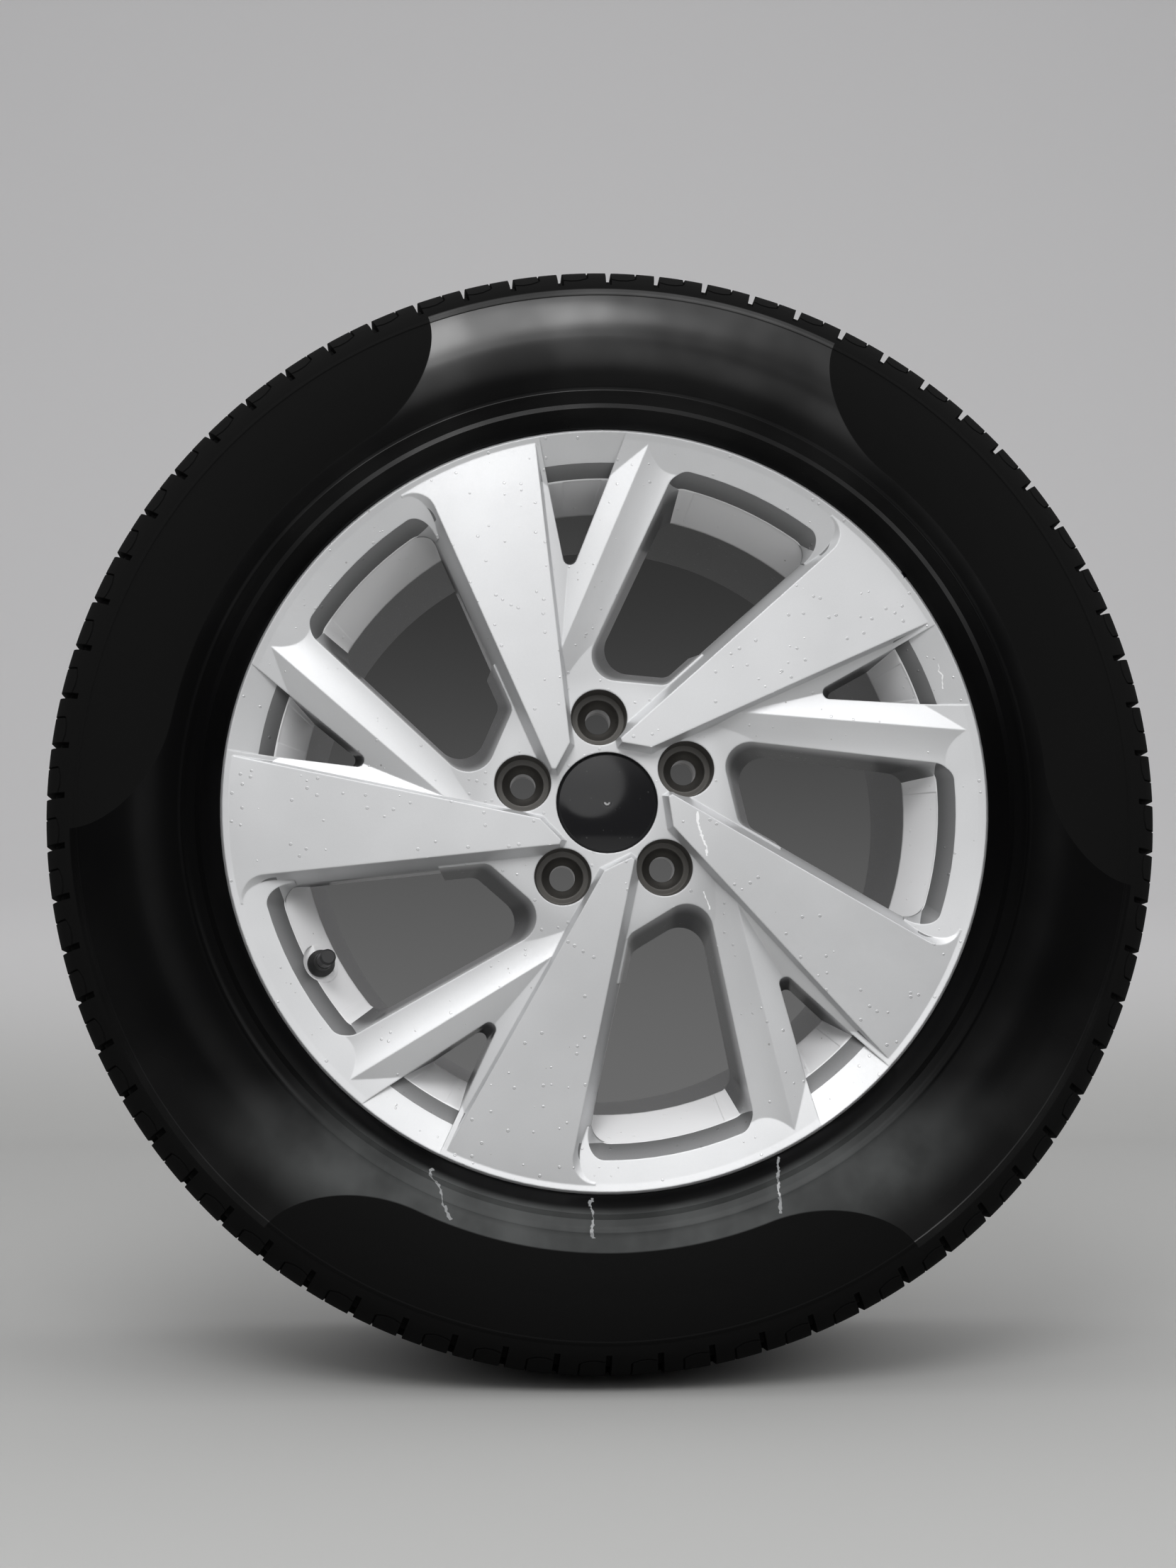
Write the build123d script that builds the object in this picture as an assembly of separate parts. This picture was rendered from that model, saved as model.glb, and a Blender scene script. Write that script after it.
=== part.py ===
from build123d import *
import os
from math import asin, atan2, cos, degrees, hypot, radians, sin, sqrt, tan

# Sizes are in millimetres and angles in degrees. The wheel is drawn lying on its back, with its axis
# along Z and its outer face up, and is stood up at the end so that it spins about Y.
# Depths are measured inwards from the plane of the blades.

# Rim
RIM_WIDTH = 152.4
BEAD_SEAT_D = 405.6
BEAD_SEAT_WIDTH = 21.0
HUMP_HEIGHT = 1.0
HUMP_WIDTH = 5.0
FLANGE_HEIGHT = 17.3
FLANGE_THICK = 10.8
FLANGE_CURL_R = 9.5
FLANGE_EDGE_R = 1.6
FLANGE_WALL = 5.0
WELL_DEPTH = 17.3
WELL_SLOPE = 60.0
BARREL_WALL = 5.5

# Outer face: a ring inside the flange, a scoop down to the windows and a bevel down to their throat
FACE_RECESS = 1.0
RING_WIDTH = 5.6
RING_DEPTH = 0.3
RIM_SCOOP_WIDTH = 12.5
WINDOW_RIM_DEPTH = 3.7
RIM_BEVEL_WIDTH = 8.4
THROAT_DEPTH = 13.0
WEB_WIDTH = 9.6
WELL_INNER_DEPTH = 39.0
SPOKE_DEPTH = 38.0

# Hub
WHEEL_OFFSET = 40.0
PAD_DEPTH = 9.0
PAD_R = 104.0
HUB_FACE_R = 74.0
HUB_BORE_R = 28.55
HUB_BORE_LENGTH = 13.5
HUB_BORE_CHAMFER = 1.5
CLIP_GROOVE_R = 29.4
CLIP_GROOVE_LENGTH = 3.5
CLIP_THROAT_R = 26.6
CLIP_THROAT_LENGTH = 8.0
CAP_SEAT_R = 29.5

# Spokes: a blade, a narrow spoke, a large window and a small window repeat round the hub
SPOKES = 5
FIRST_BOLT_ANGLE = 23.4

# Bolt holes, and the lightening pockets between them on the back of the hub
BOLT_PCD = 100.0
BOLT_HOLE_R = 7.5
BOLT_SEAT_R = 13.0
BOLT_SEAT_MOUTH_R = 12.2
POCKET_MOUTH_R = 16.5
POCKET_FLOOR_R = 15.4
POCKET_DEPTH = 12.0
HUB_POCKET_R = 10.0
HUB_POCKET_DEPTH = 9.0

# Blade: straight edges given by a point and a heading, in the frame of the bolt hole beside it
BLADE_TIP = (21.4, 30.3)
BLADE_UPPER_HEADING = 18.8
BLADE_HUB_START = (21.0, 28.0)
BLADE_HUB_END = (35.5, 18.6)
BLADE_LOWER_HEADING = 1.3
BLADE_UPPER_DRAFT = 0.55
BLADE_LOWER_DRAFT = 0.30
BLADE_FLARE_R = 13.0
BLADE_FLARE_THROAT_R = 8.0
BLADE_POCKET_START = 90.0
BLADE_POCKET_RIM_GAP = 10.0
BLADE_POCKET_DRAFT = 0.08
BLADE_WALL = 8.0
BLADE_SKIN = 11.0

# Narrow spoke: a ridge with a scooped flank to the large window and a flat flank to the small one
RIDGE_START = (93.0, 17.5)
RIDGE_START_DEPTH = 6.0
RIDGE_END = (207.0, -43.0)
RIDGE_END_DEPTH = 0.8
SCOOP_WIDTH = 20.0
SCOOP_DROP = 3.5
RIDGE_RUN_OUT = 16.0
FLANK_WIDTH = 18.0
FLANK_SLOPE = 0.30
LEDGE_DEPTH = 6.0
LEDGE_WIDTH = 14.0
LEDGE_SLOPE = 0.30

# Large window
WINDOW_HUB_POINT = (57.0, 50.5)
WINDOW_HUB_HEADING = 151.8
WINDOW_SPOKE_POINT = (105.0, -7.8)
WINDOW_SPOKE_HEADING = -30.2
WINDOW_SPOKE_DEPTH = 7.0
WINDOW_NOSE_R = 15.0
WINDOW_HEEL_R = 8.0
WINDOW_CORNER_R = 11.0
WINDOW_BLADE_DRAFT = 0.19
WINDOW_SPOKE_DRAFT = 0.14
WINDOW_HUB_DRAFT = 0.35

# Small window
SMALL_UPPER_POINT = (150.0, 12.9)
SMALL_UPPER_HEADING = 6.0
SMALL_LOWER_POINT = (165.0, -5.8)
SMALL_LOWER_HEADING = -26.3
SMALL_TIP_R = 4.0
SMALL_DRAFT = 0.09
SMALL_RIM_LAP = 2.0
SMALL_RIM_DEPTH = 6.5

# Valve hole
VALVE_ANGLE = 209.5
VALVE_DEPTH = 22.5
VALVE_TILT = 20.0
VALVE_HOLE_R = 5.65
VALVE_WALL = 4.0
VALVE_BOSS_R = 11.5
VALVE_BOSS_LENGTH = 9.0
VALVE_POCKET_R = 8.6
VALVE_POCKET_LENGTH = 24.0

# Tyre
TYRE_D = 652.4
TYRE_WIDTH = 209.0
SHOULDER_WIDTH = 26.5
CROWN_R = 430.0
SHOULDER_R = 30.0
SHOULDER_TURN = 70.0
WIDEST_SHARE = 0.4515
BEAD_LINE_GAP = 9.2
BEAD_LINE_OVERHANG = 9.6
BEAD_LINE_HEIGHT = 0.8
BEAD_LINE_WIDTH = 3.0
BEAD_WIDTH = 19.5
BEAD_HEEL_R = 3.0
BEAD_GAP = 0.1
SIDEWALL_THICK = 9.0
CROWN_THICK = 14.5
LINER_INSET = 16.0
LINER_DROP = 5.7
GROOVE_WIDTH = 9.0
GROOVE_DEPTH = 7.0
GROOVE_INSET = 30.0
GROOVE_SPACING = 30.0
SLOTS = 68
SLOT_WIDTH = 3.4
SLOT_DEPTH = 6.0
SLOT_INSET = 21.0
SLOT_DROP = 24.2

# Centre cap
CAP_GAP = 0.3
CAP_RECESS = 0.8
CAP_EDGE = 1.6
CAP_DOME = 1.6
CAP_SKIN = 2.2
CAP_LEGS = 6
CAP_LEG_THICK = 2.0
CAP_LEG_GAP = 9.0
CAP_NIB = 1.5
CAP_NIB_HEIGHT = 1.6
SPRING_WIRE_R = 0.9
SPRING_GAP_ANGLE = 18.0
SPRING_FIT = 0.05
WIRE_SIDES = 6

# Valve: distances along its stem from the face that it seats on
STEM_HEAD_R = 8.2
STEM_HEAD_THICK = 4.5
STEM_SHOULDER_R = 7.8
STEM_SHOULDER_HEIGHT = 2.4
STEM_NECK_R = 5.3
STEM_NECK_HEIGHT = 7.0
STEM_TOP_R = 4.9
STEM_RUBBER_HEIGHT = 12.0
STEM_FIT = 0.05
INSERT_R = 3.4
INSERT_THREAD_R = 3.85
INSERT_TAIL = 6.5
INSERT_HEIGHT = 20.0
INSERT_BORE_R = 2.5
INSERT_BORE_FLOOR = 6.0
INSERT_TAIL_BORE_R = 1.7
CORE_FIT = 0.03
CORE_BASE = 11.5
CORE_RECESS = 0.7
CORE_HOLE_R = 1.0
PIN_R = 0.7
PIN_RECESS = 0.4
PIN_TAIL = 5.2
PIN_FOOT_R = 1.9
PIN_FOOT_THICK = 0.8
CORE_SEAL_R = 2.1
CORE_SEAL_THICK = 1.1
CORE_SPRING_R = 1.7
CORE_SPRING_WIRE_R = 0.2
CORE_SPRING_TURNS = 3
VALVE_CAP_R = 4.7
VALVE_CAP_TOP = 22.8
VALVE_CAP_GAP = 0.3
VALVE_CAP_FIT = 0.05
VALVE_CAP_EDGE = 1.2
VALVE_CAP_SIDES = 12
CAP_SEAL_THICK = 0.9

# Places worked out from the sizes above
HALF_WIDTH = RIM_WIDTH / 2
FLANGE_TIP_Z = HALF_WIDTH + FLANGE_THICK
FACE_Z = FLANGE_TIP_Z - FACE_RECESS
BEAD_SEAT_R = BEAD_SEAT_D / 2
FLANGE_R = BEAD_SEAT_R + FLANGE_HEIGHT
CURL_CENTRE_R = FLANGE_R - FLANGE_CURL_R
CURL_CENTRE_Z = HALF_WIDTH + FLANGE_CURL_R
RING_INNER_R = FLANGE_R - RING_WIDTH
WINDOW_RIM_R = RING_INNER_R - RIM_SCOOP_WIDTH
THROAT_RIM_R = WINDOW_RIM_R - RIM_BEVEL_WIDTH
WEB_INNER_R = THROAT_RIM_R - WEB_WIDTH
BLADE_POCKET_END_R = WEB_INNER_R - BLADE_POCKET_RIM_GAP
WELL_R = BEAD_SEAT_R - WELL_DEPTH
WELL_INNER_R = WELL_R - BARREL_WALL
BARREL_INNER_R = BEAD_SEAT_R - BARREL_WALL
PAD_Z = FACE_Z - PAD_DEPTH
SPOKE_BACK_Z = FACE_Z - SPOKE_DEPTH
BORE_END_Z = WHEEL_OFFSET + HUB_BORE_CHAMFER + HUB_BORE_LENGTH
THROAT_Z = BORE_END_Z + CLIP_GROOVE_LENGTH
CAP_SEAT_Z = THROAT_Z + CLIP_THROAT_LENGTH
TYRE_R = TYRE_D / 2
WIDEST_R = FLANGE_R + WIDEST_SHARE * (TYRE_R - FLANGE_R)
BEAD_LINE_R = FLANGE_R + BEAD_LINE_GAP
TREAD_HALF = TYRE_WIDTH / 2 - SHOULDER_WIDTH
LINER_HALF_WIDTH = TREAD_HALF - LINER_INSET
GROOVE_PLACES = (TREAD_HALF - GROOVE_INSET, TREAD_HALF - GROOVE_INSET - GROOVE_SPACING)
SLOT_START = TREAD_HALF - SLOT_INSET
SLOT_END_R = TYRE_R - SLOT_DROP
PITCH = 360 / SPOKES
DIAGONAL = sqrt(0.5)
CLEAR = 3.0
FINE = 0.4
CUT_DEPTH = FACE_Z - WHEEL_OFFSET + CLEAR


def level(depth):
    """Height of a depth behind the plane of the blades."""
    return FACE_Z - depth


def edge(point, heading, shift=0.0):
    """A straight edge as a point and a direction, moved to its left by shift."""
    along = (cos(radians(heading)), sin(radians(heading)))
    return (point[0] - shift * along[1], point[1] + shift * along[0]), along


def meet(first, second):
    """The point where two straight edges cross."""
    (px, py), (ax, ay) = first
    (qx, qy), (bx, by) = second
    t = ((qx - px) * by - (qy - py) * bx) / (ax * by - ay * bx)
    return px + t * ax, py + t * ay


def reach(line, radius):
    """The point where a straight edge, followed outwards, crosses a circle round the axis."""
    (px, py), (ax, ay) = line
    half = px * ax + py * ay
    t = -half + sqrt(half * half - px * px - py * py + radius * radius)
    return px + t * ax, py + t * ay


def turned(point, angle):
    """A point turned about the axis."""
    c, s = cos(radians(angle)), sin(radians(angle))
    return c * point[0] - s * point[1], s * point[0] + c * point[1]


def heading_of(start, end):
    return degrees(atan2(end[1] - start[1], end[0] - start[0]))


def between(start, end, share):
    return start + (end - start) * share


def drafted(outline, *depths):
    """A solid through an outline that changes evenly from each depth to the next."""
    sections = [Pos(0, 0, level(depth)) * outline(depth) for depth in depths]
    return [loft(pair, ruled=True) for pair in zip(sections, sections[1:])]


def rounded(face, corner, radius):
    """A flat outline with its corner nearest to a point rounded off."""
    return fillet(face.vertices().sort_by_distance(corner)[0], radius)


def ring_of(*lines):
    """A closed profile drawn as radius and height, turned about the axis."""
    edges = [piece for line in lines for piece in line.edges()]
    return revolve(Plane.XZ * make_face(edges), Axis.Z)


def round_ring(*points):
    return ring_of(Polyline(*points, close=True))


def each_spoke(solid):
    return [Rot(0, 0, FIRST_BOLT_ANGLE + PITCH * k) * solid for k in range(SPOKES)]


def slope_r(depth):
    """Radius of the sloping inside of the barrel behind the windows."""
    share = (depth - THROAT_DEPTH) / (WELL_INNER_DEPTH - THROAT_DEPTH)
    return between(THROAT_RIM_R, WELL_INNER_R, share)


def curl(side, radius):
    """The quarter round of a flange, on the outer side (1) or the inner side (-1), from its tip down."""
    return ThreePointArc(
        (CURL_CENTRE_R + radius, side * CURL_CENTRE_Z),
        (CURL_CENTRE_R + radius * DIAGONAL, side * (CURL_CENTRE_Z - radius * DIAGONAL)),
        (CURL_CENTRE_R, side * (CURL_CENTRE_Z - radius)),
    )


def rim():
    """The barrel with its flanges, bead seats and well, and the web that the windows are cut from."""
    seat_z = HALF_WIDTH - BEAD_SEAT_WIDTH
    hump_z = seat_z - HUMP_WIDTH
    well_z = hump_z - WELL_DEPTH / tan(radians(WELL_SLOPE))
    hump = (BEAD_SEAT_R + HUMP_HEIGHT, (seat_z + hump_z) / 2)
    inner_turn = BARREL_WALL * tan(radians(WELL_SLOPE / 2))
    scoop = (WINDOW_RIM_DEPTH - RING_DEPTH) / RIM_SCOOP_WIDTH
    web_depth = RING_DEPTH + scoop * (RING_INNER_R - WEB_INNER_R)
    lip_r = FLANGE_CURL_R - FLANGE_WALL
    lip_z = -CURL_CENTRE_Z + lip_r
    tyre_side = Polyline(
        (CURL_CENTRE_R, HALF_WIDTH),
        (BEAD_SEAT_R, HALF_WIDTH),
        (BEAD_SEAT_R, seat_z),
        hump,
        (BEAD_SEAT_R, hump_z),
        (WELL_R, well_z),
        (WELL_R, -well_z),
        (BEAD_SEAT_R, -hump_z),
        (hump[0], -hump[1]),
        (BEAD_SEAT_R, -seat_z),
        (BEAD_SEAT_R, -HALF_WIDTH),
        (CURL_CENTRE_R, -HALF_WIDTH),
    )
    inner_lip = Polyline(
        (FLANGE_R, -CURL_CENTRE_Z),
        (FLANGE_R, -FLANGE_TIP_Z),
        (CURL_CENTRE_R + lip_r, -FLANGE_TIP_Z),
        (CURL_CENTRE_R + lip_r, -CURL_CENTRE_Z),
    )
    wheel_side = Polyline(
        (CURL_CENTRE_R, lip_z),
        (BARREL_INNER_R + FLANGE_WALL, lip_z),
        (BARREL_INNER_R, -HALF_WIDTH),
        (BARREL_INNER_R, -hump_z - inner_turn),
        (WELL_INNER_R, -well_z - inner_turn),
        (WELL_INNER_R, level(WELL_INNER_DEPTH)),
        (THROAT_RIM_R, level(THROAT_DEPTH)),
        (WEB_INNER_R, level(THROAT_DEPTH)),
        (WEB_INNER_R, level(web_depth)),
        (RING_INNER_R, level(RING_DEPTH)),
        (FLANGE_R - FLANGE_EDGE_R, FLANGE_TIP_Z),
        (FLANGE_R, CURL_CENTRE_Z),
    )
    return ring_of(curl(1, FLANGE_CURL_R), tyre_side, curl(-1, FLANGE_CURL_R), inner_lip,
                   curl(-1, lip_r), wheel_side)


def spoke_room():
    """The space that the spokes fill, from the flat back of the hub to the middle of the rim's wall."""
    return round_ring(
        (0, WHEEL_OFFSET),
        (HUB_FACE_R, WHEEL_OFFSET),
        (HUB_FACE_R + SPOKE_BACK_Z - WHEEL_OFFSET, SPOKE_BACK_Z),
        (WELL_INNER_R + BARREL_WALL / 2, SPOKE_BACK_Z),
        (BARREL_INNER_R, SPOKE_BACK_Z + BARREL_WALL),
        (BARREL_INNER_R, HALF_WIDTH),
        (FLANGE_R - CLEAR, FACE_Z - CLEAR),
        (FLANGE_R - CLEAR, FACE_Z + CLEAR),
        (0, FACE_Z + CLEAR),
    )


def blade_edges(depth):
    """The blade's tip, hub, lower and upper edges at a depth, moved out by their drafts."""
    out = -BLADE_LOWER_DRAFT * depth
    tip = edge(BLADE_TIP, heading_of(BLADE_TIP, BLADE_HUB_START), out)
    hub = edge(BLADE_HUB_START, heading_of(BLADE_HUB_START, BLADE_HUB_END), out)
    lower = edge(BLADE_HUB_END, BLADE_LOWER_HEADING, out)
    upper = edge(BLADE_TIP, BLADE_UPPER_HEADING, BLADE_UPPER_DRAFT * depth)
    return tip, hub, lower, upper


def blade_outline(depth):
    """The blade seen from the front, with its upper edge flared into a circle of the rim."""
    share = depth / THROAT_DEPTH
    ring_r = between(RING_INNER_R, THROAT_RIM_R, share)
    flare_r = between(BLADE_FLARE_R, BLADE_FLARE_THROAT_R, share)
    tip, hub, lower, upper = blade_edges(depth)
    along = Vector(*upper[1])
    left = Vector(-along.Y, along.X)
    middle = Vector(*reach(((upper[0][0] + flare_r * left.X, upper[0][1] + flare_r * left.Y), upper[1]),
                           ring_r - flare_r))
    out = middle.normalized()
    on_edge = middle - left * flare_r
    on_ring = middle + out * flare_r
    flare = ThreePointArc(on_edge, middle + (out - left).normalized() * flare_r, on_ring)
    rest = Polyline(on_ring, out * FLANGE_R, reach(lower, FLANGE_R), meet(hub, lower), meet(tip, hub),
                    meet(upper, tip), on_edge)
    return make_face([*rest.edges(), flare])


def blade():
    """A flat-faced blade: a drafted top over a straight root."""
    root = Pos(0, 0, level(THROAT_DEPTH)) * blade_outline(THROAT_DEPTH)
    return drafted(blade_outline, 0, THROAT_DEPTH) + [extrude(root, THROAT_DEPTH - CUT_DEPTH)]


def narrow_spoke():
    """The narrow spoke's section, drawn across its ridge and carried along it."""
    run = hypot(RIDGE_END[0] - RIDGE_START[0], RIDGE_END[1] - RIDGE_START[1])
    start = Vector(*RIDGE_START, level(RIDGE_START_DEPTH))
    along = (Vector(*RIDGE_END, level(RIDGE_END_DEPTH)) - start).normalized()
    left = Vector(-along.Y, along.X, 0)
    scoop_r = (SCOOP_WIDTH ** 2 + SCOOP_DROP ** 2) / (2 * SCOOP_DROP)
    half = SCOOP_WIDTH / 2
    half_drop = SCOOP_DROP - scoop_r + sqrt(scoop_r ** 2 - half ** 2)
    scoop = ThreePointArc((0, 0), (-half, -half_drop), (-SCOOP_WIDTH, -SCOOP_DROP))
    back = RIDGE_START_DEPTH - CUT_DEPTH
    rest = Polyline(
        (-SCOOP_WIDTH, -SCOOP_DROP),
        (-SCOOP_WIDTH - RIDGE_RUN_OUT, -SCOOP_DROP),
        (-SCOOP_WIDTH - RIDGE_RUN_OUT, back),
        (FLANK_WIDTH, back),
        (FLANK_WIDTH, -FLANK_SLOPE * FLANK_WIDTH),
        (0, 0),
    )
    across = Plane(origin=start - along * RIDGE_RUN_OUT, x_dir=left, z_dir=along)
    return extrude(across * make_face([scoop, *rest.edges()]), run + 2 * RIDGE_RUN_OUT)


def ledge():
    """The sloping ledge along the foot of the blade, beside the small window."""
    foot = edge(BLADE_HUB_END, BLADE_LOWER_HEADING, -BLADE_LOWER_DRAFT * LEDGE_DEPTH)
    below = edge(BLADE_HUB_END, BLADE_LOWER_HEADING, -LEDGE_WIDTH)
    inside = edge(BLADE_HUB_END, BLADE_LOWER_HEADING, LEDGE_DEPTH)
    start = edge(RIDGE_START, BLADE_LOWER_HEADING + 90)
    outline = Polyline(
        RIDGE_START,
        reach(below, SMALL_UPPER_POINT[0]),
        reach(below, RING_INNER_R),
        reach(inside, RING_INNER_R),
        meet(start, inside),
        close=True,
    )
    block = extrude(Pos(0, 0, level(CUT_DEPTH)) * make_face(outline), CUT_DEPTH)
    slope = Vector(*turned((0, -LEDGE_SLOPE), BLADE_LOWER_HEADING), 1)
    top = Plane(origin=(*meet(foot, start), level(LEDGE_DEPTH)), z_dir=slope)
    return split(block, bisect_by=top, keep=Keep.BOTTOM)


def window_rim_r(depth):
    """Radius of the large window's side at the rim: a bevel, then clear of the sloping barrel."""
    if depth > THROAT_DEPTH:
        return slope_r(depth) - FINE
    share = (depth - WINDOW_RIM_DEPTH) / (THROAT_DEPTH - WINDOW_RIM_DEPTH)
    return between(WINDOW_RIM_R, THROAT_RIM_R - FINE, share)


def window_outline(depth):
    """The large window at a depth: blade side, rim side, narrow spoke side and hub side."""
    rim_r = window_rim_r(depth)
    below = depth - THROAT_DEPTH
    blade_side = edge(BLADE_TIP, BLADE_UPPER_HEADING,
                      BLADE_UPPER_DRAFT * THROAT_DEPTH - FINE + WINDOW_BLADE_DRAFT * below)
    spoke_side = edge(turned(WINDOW_SPOKE_POINT, PITCH), WINDOW_SPOKE_HEADING + PITCH,
                      -WINDOW_SPOKE_DRAFT * (depth - WINDOW_SPOKE_DEPTH))
    hub_side = edge(WINDOW_HUB_POINT, WINDOW_HUB_HEADING, -WINDOW_HUB_DRAFT * (depth - PAD_DEPTH))
    heel = meet(blade_side, hub_side)
    nose = meet(spoke_side, hub_side)
    outline = make_face(Polyline(heel, reach(blade_side, TYRE_R), reach(spoke_side, TYRE_R), nose, close=True))
    outline = outline & Circle(rim_r)
    outline = rounded(outline, reach(blade_side, rim_r), WINDOW_CORNER_R)
    outline = rounded(outline, reach(spoke_side, rim_r), WINDOW_CORNER_R)
    outline = rounded(outline, nose, WINDOW_NOSE_R)
    return rounded(outline, heel, WINDOW_HEEL_R)


def small_rim_r(depth):
    """Radius of the small window's side at the rim: a wide bevel down to the sloping barrel."""
    if depth > SMALL_RIM_DEPTH:
        return window_rim_r(max(depth, THROAT_DEPTH))
    return between(RING_INNER_R + SMALL_RIM_LAP, WINDOW_RIM_R, depth / SMALL_RIM_DEPTH)


def small_outline(depth):
    """The small window at a depth: two straight sides, a round tip and the rim."""
    draft = SMALL_DRAFT * max(depth - PAD_DEPTH, 0)
    upper = edge(SMALL_UPPER_POINT, SMALL_UPPER_HEADING, -draft)
    lower = edge(SMALL_LOWER_POINT, SMALL_LOWER_HEADING, draft)
    tip = meet(upper, lower)
    outline = make_face(Polyline(tip, reach(lower, TYRE_R), reach(upper, TYRE_R), close=True))
    return rounded(outline & Circle(small_rim_r(depth)), tip, SMALL_TIP_R)


def blade_pocket_outline(depth):
    """The hollow in the back of a blade, narrowing towards its face."""
    narrowing = BLADE_POCKET_DRAFT * (SPOKE_DEPTH - depth)
    low = BLADE_WALL - BLADE_LOWER_DRAFT * THROAT_DEPTH + narrowing
    high = BLADE_UPPER_DRAFT * THROAT_DEPTH + WINDOW_BLADE_DRAFT * (SPOKE_DEPTH - THROAT_DEPTH) - BLADE_WALL
    lower = edge(BLADE_HUB_END, BLADE_LOWER_HEADING, low)
    upper = edge(BLADE_TIP, BLADE_UPPER_HEADING, high - narrowing)
    start = edge((BLADE_POCKET_START + narrowing, 0), 90)
    end_r = BLADE_POCKET_END_R - narrowing
    return make_face(Polyline(meet(start, lower), reach(lower, end_r), reach(upper, end_r),
                              meet(start, upper), close=True))


def bolt_hole():
    """A bolt hole: a drafted pocket from the front, a ball seat and a plain hole."""
    floor_z = PAD_Z - POCKET_DEPTH
    ball_z = floor_z + sqrt(BOLT_SEAT_R ** 2 - BOLT_SEAT_MOUTH_R ** 2)
    seat_end = (BOLT_HOLE_R, ball_z - sqrt(BOLT_SEAT_R ** 2 - BOLT_HOLE_R ** 2))
    profile = Polyline(
        seat_end,
        (BOLT_HOLE_R, WHEEL_OFFSET - CLEAR),
        (0, WHEEL_OFFSET - CLEAR),
        (0, FACE_Z + CLEAR),
        (POCKET_MOUTH_R, FACE_Z + CLEAR),
        (POCKET_MOUTH_R, PAD_Z),
        (POCKET_FLOOR_R, floor_z),
        (BOLT_SEAT_MOUTH_R, floor_z),
    )
    seat = ThreePointArc((BOLT_SEAT_MOUTH_R, floor_z),
                         (BOLT_SEAT_R * DIAGONAL, ball_z - BOLT_SEAT_R * DIAGONAL), seat_end)
    return Pos(BOLT_PCD / 2, 0, 0) * ring_of(profile, seat)


def hub_bore():
    """The stepped hole through the hub: hub bore, clip groove, clip throat and cap seat."""
    return round_ring(
        (0, WHEEL_OFFSET - CLEAR),
        (HUB_BORE_R + HUB_BORE_CHAMFER + CLEAR, WHEEL_OFFSET - CLEAR),
        (HUB_BORE_R, WHEEL_OFFSET + HUB_BORE_CHAMFER),
        (HUB_BORE_R, BORE_END_Z),
        (CLIP_GROOVE_R, BORE_END_Z),
        (CLIP_GROOVE_R, THROAT_Z),
        (CLIP_THROAT_R, THROAT_Z),
        (CLIP_THROAT_R, CAP_SEAT_Z),
        (CAP_SEAT_R, CAP_SEAT_Z),
        (CAP_SEAT_R, PAD_Z + CLEAR),
        (0, PAD_Z + CLEAR),
    )


def valve_place():
    """The valve's frame: its origin on the sloping barrel, its axis out of the wheel's face."""
    radial = Vector(*turned((1, 0), VALVE_ANGLE), 0)
    axis = Vector(0, 0, 1) * cos(radians(VALVE_TILT)) - radial * sin(radians(VALVE_TILT))
    origin = radial * slope_r(VALVE_DEPTH) + Vector(0, 0, level(VALVE_DEPTH))
    return Plane(origin=origin, x_dir=radial.cross(axis), z_dir=axis).location


def alloy_wheel():
    """The cast wheel in one piece."""
    boss = valve_place() * round_ring((0, 0), (VALVE_BOSS_R, 0), (VALVE_BOSS_R, -VALVE_BOSS_LENGTH),
                                      (0, -VALVE_BOSS_LENGTH))
    valve_hole = valve_place() * round_ring(
        (0, VALVE_POCKET_LENGTH),
        (VALVE_BOSS_R, VALVE_POCKET_LENGTH),
        (VALVE_BOSS_R, 0),
        (VALVE_HOLE_R, 0),
        (VALVE_HOLE_R, -VALVE_WALL),
        (VALVE_POCKET_R, -VALVE_WALL),
        (VALVE_POCKET_R, -VALVE_POCKET_LENGTH),
        (0, -VALVE_POCKET_LENGTH),
    )
    hub = Pos(0, 0, WHEEL_OFFSET) * extrude(Circle(PAD_R), PAD_Z - WHEEL_OFFSET)
    spokes = [hub]
    for piece in [*blade(), narrow_spoke(), ledge()]:
        spokes += each_spoke(piece)
    wheel = Part() + spokes
    wheel = (wheel & spoke_room()) + [rim(), boss]
    hub_pocket = Rot(0, 0, PITCH / 2) * Pos(BOLT_PCD / 2, 0, WHEEL_OFFSET) * Cylinder(
        HUB_POCKET_R, 2 * HUB_POCKET_DEPTH)
    cuts = [hub_bore(), valve_hole]
    for tool in [
        *drafted(window_outline, -CLEAR, THROAT_DEPTH, CUT_DEPTH),
        *drafted(small_outline, -CLEAR, SMALL_RIM_DEPTH, THROAT_DEPTH, CUT_DEPTH),
        *drafted(blade_pocket_outline, BLADE_SKIN, CUT_DEPTH),
        bolt_hole(),
        hub_pocket,
    ]:
        cuts += each_spoke(tool)
    return wheel - cuts


def crown_r(across):
    """Radius of the tread at a distance from the middle of the tyre."""
    return TYRE_R - CROWN_R + sqrt(CROWN_R ** 2 - across ** 2)


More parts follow.
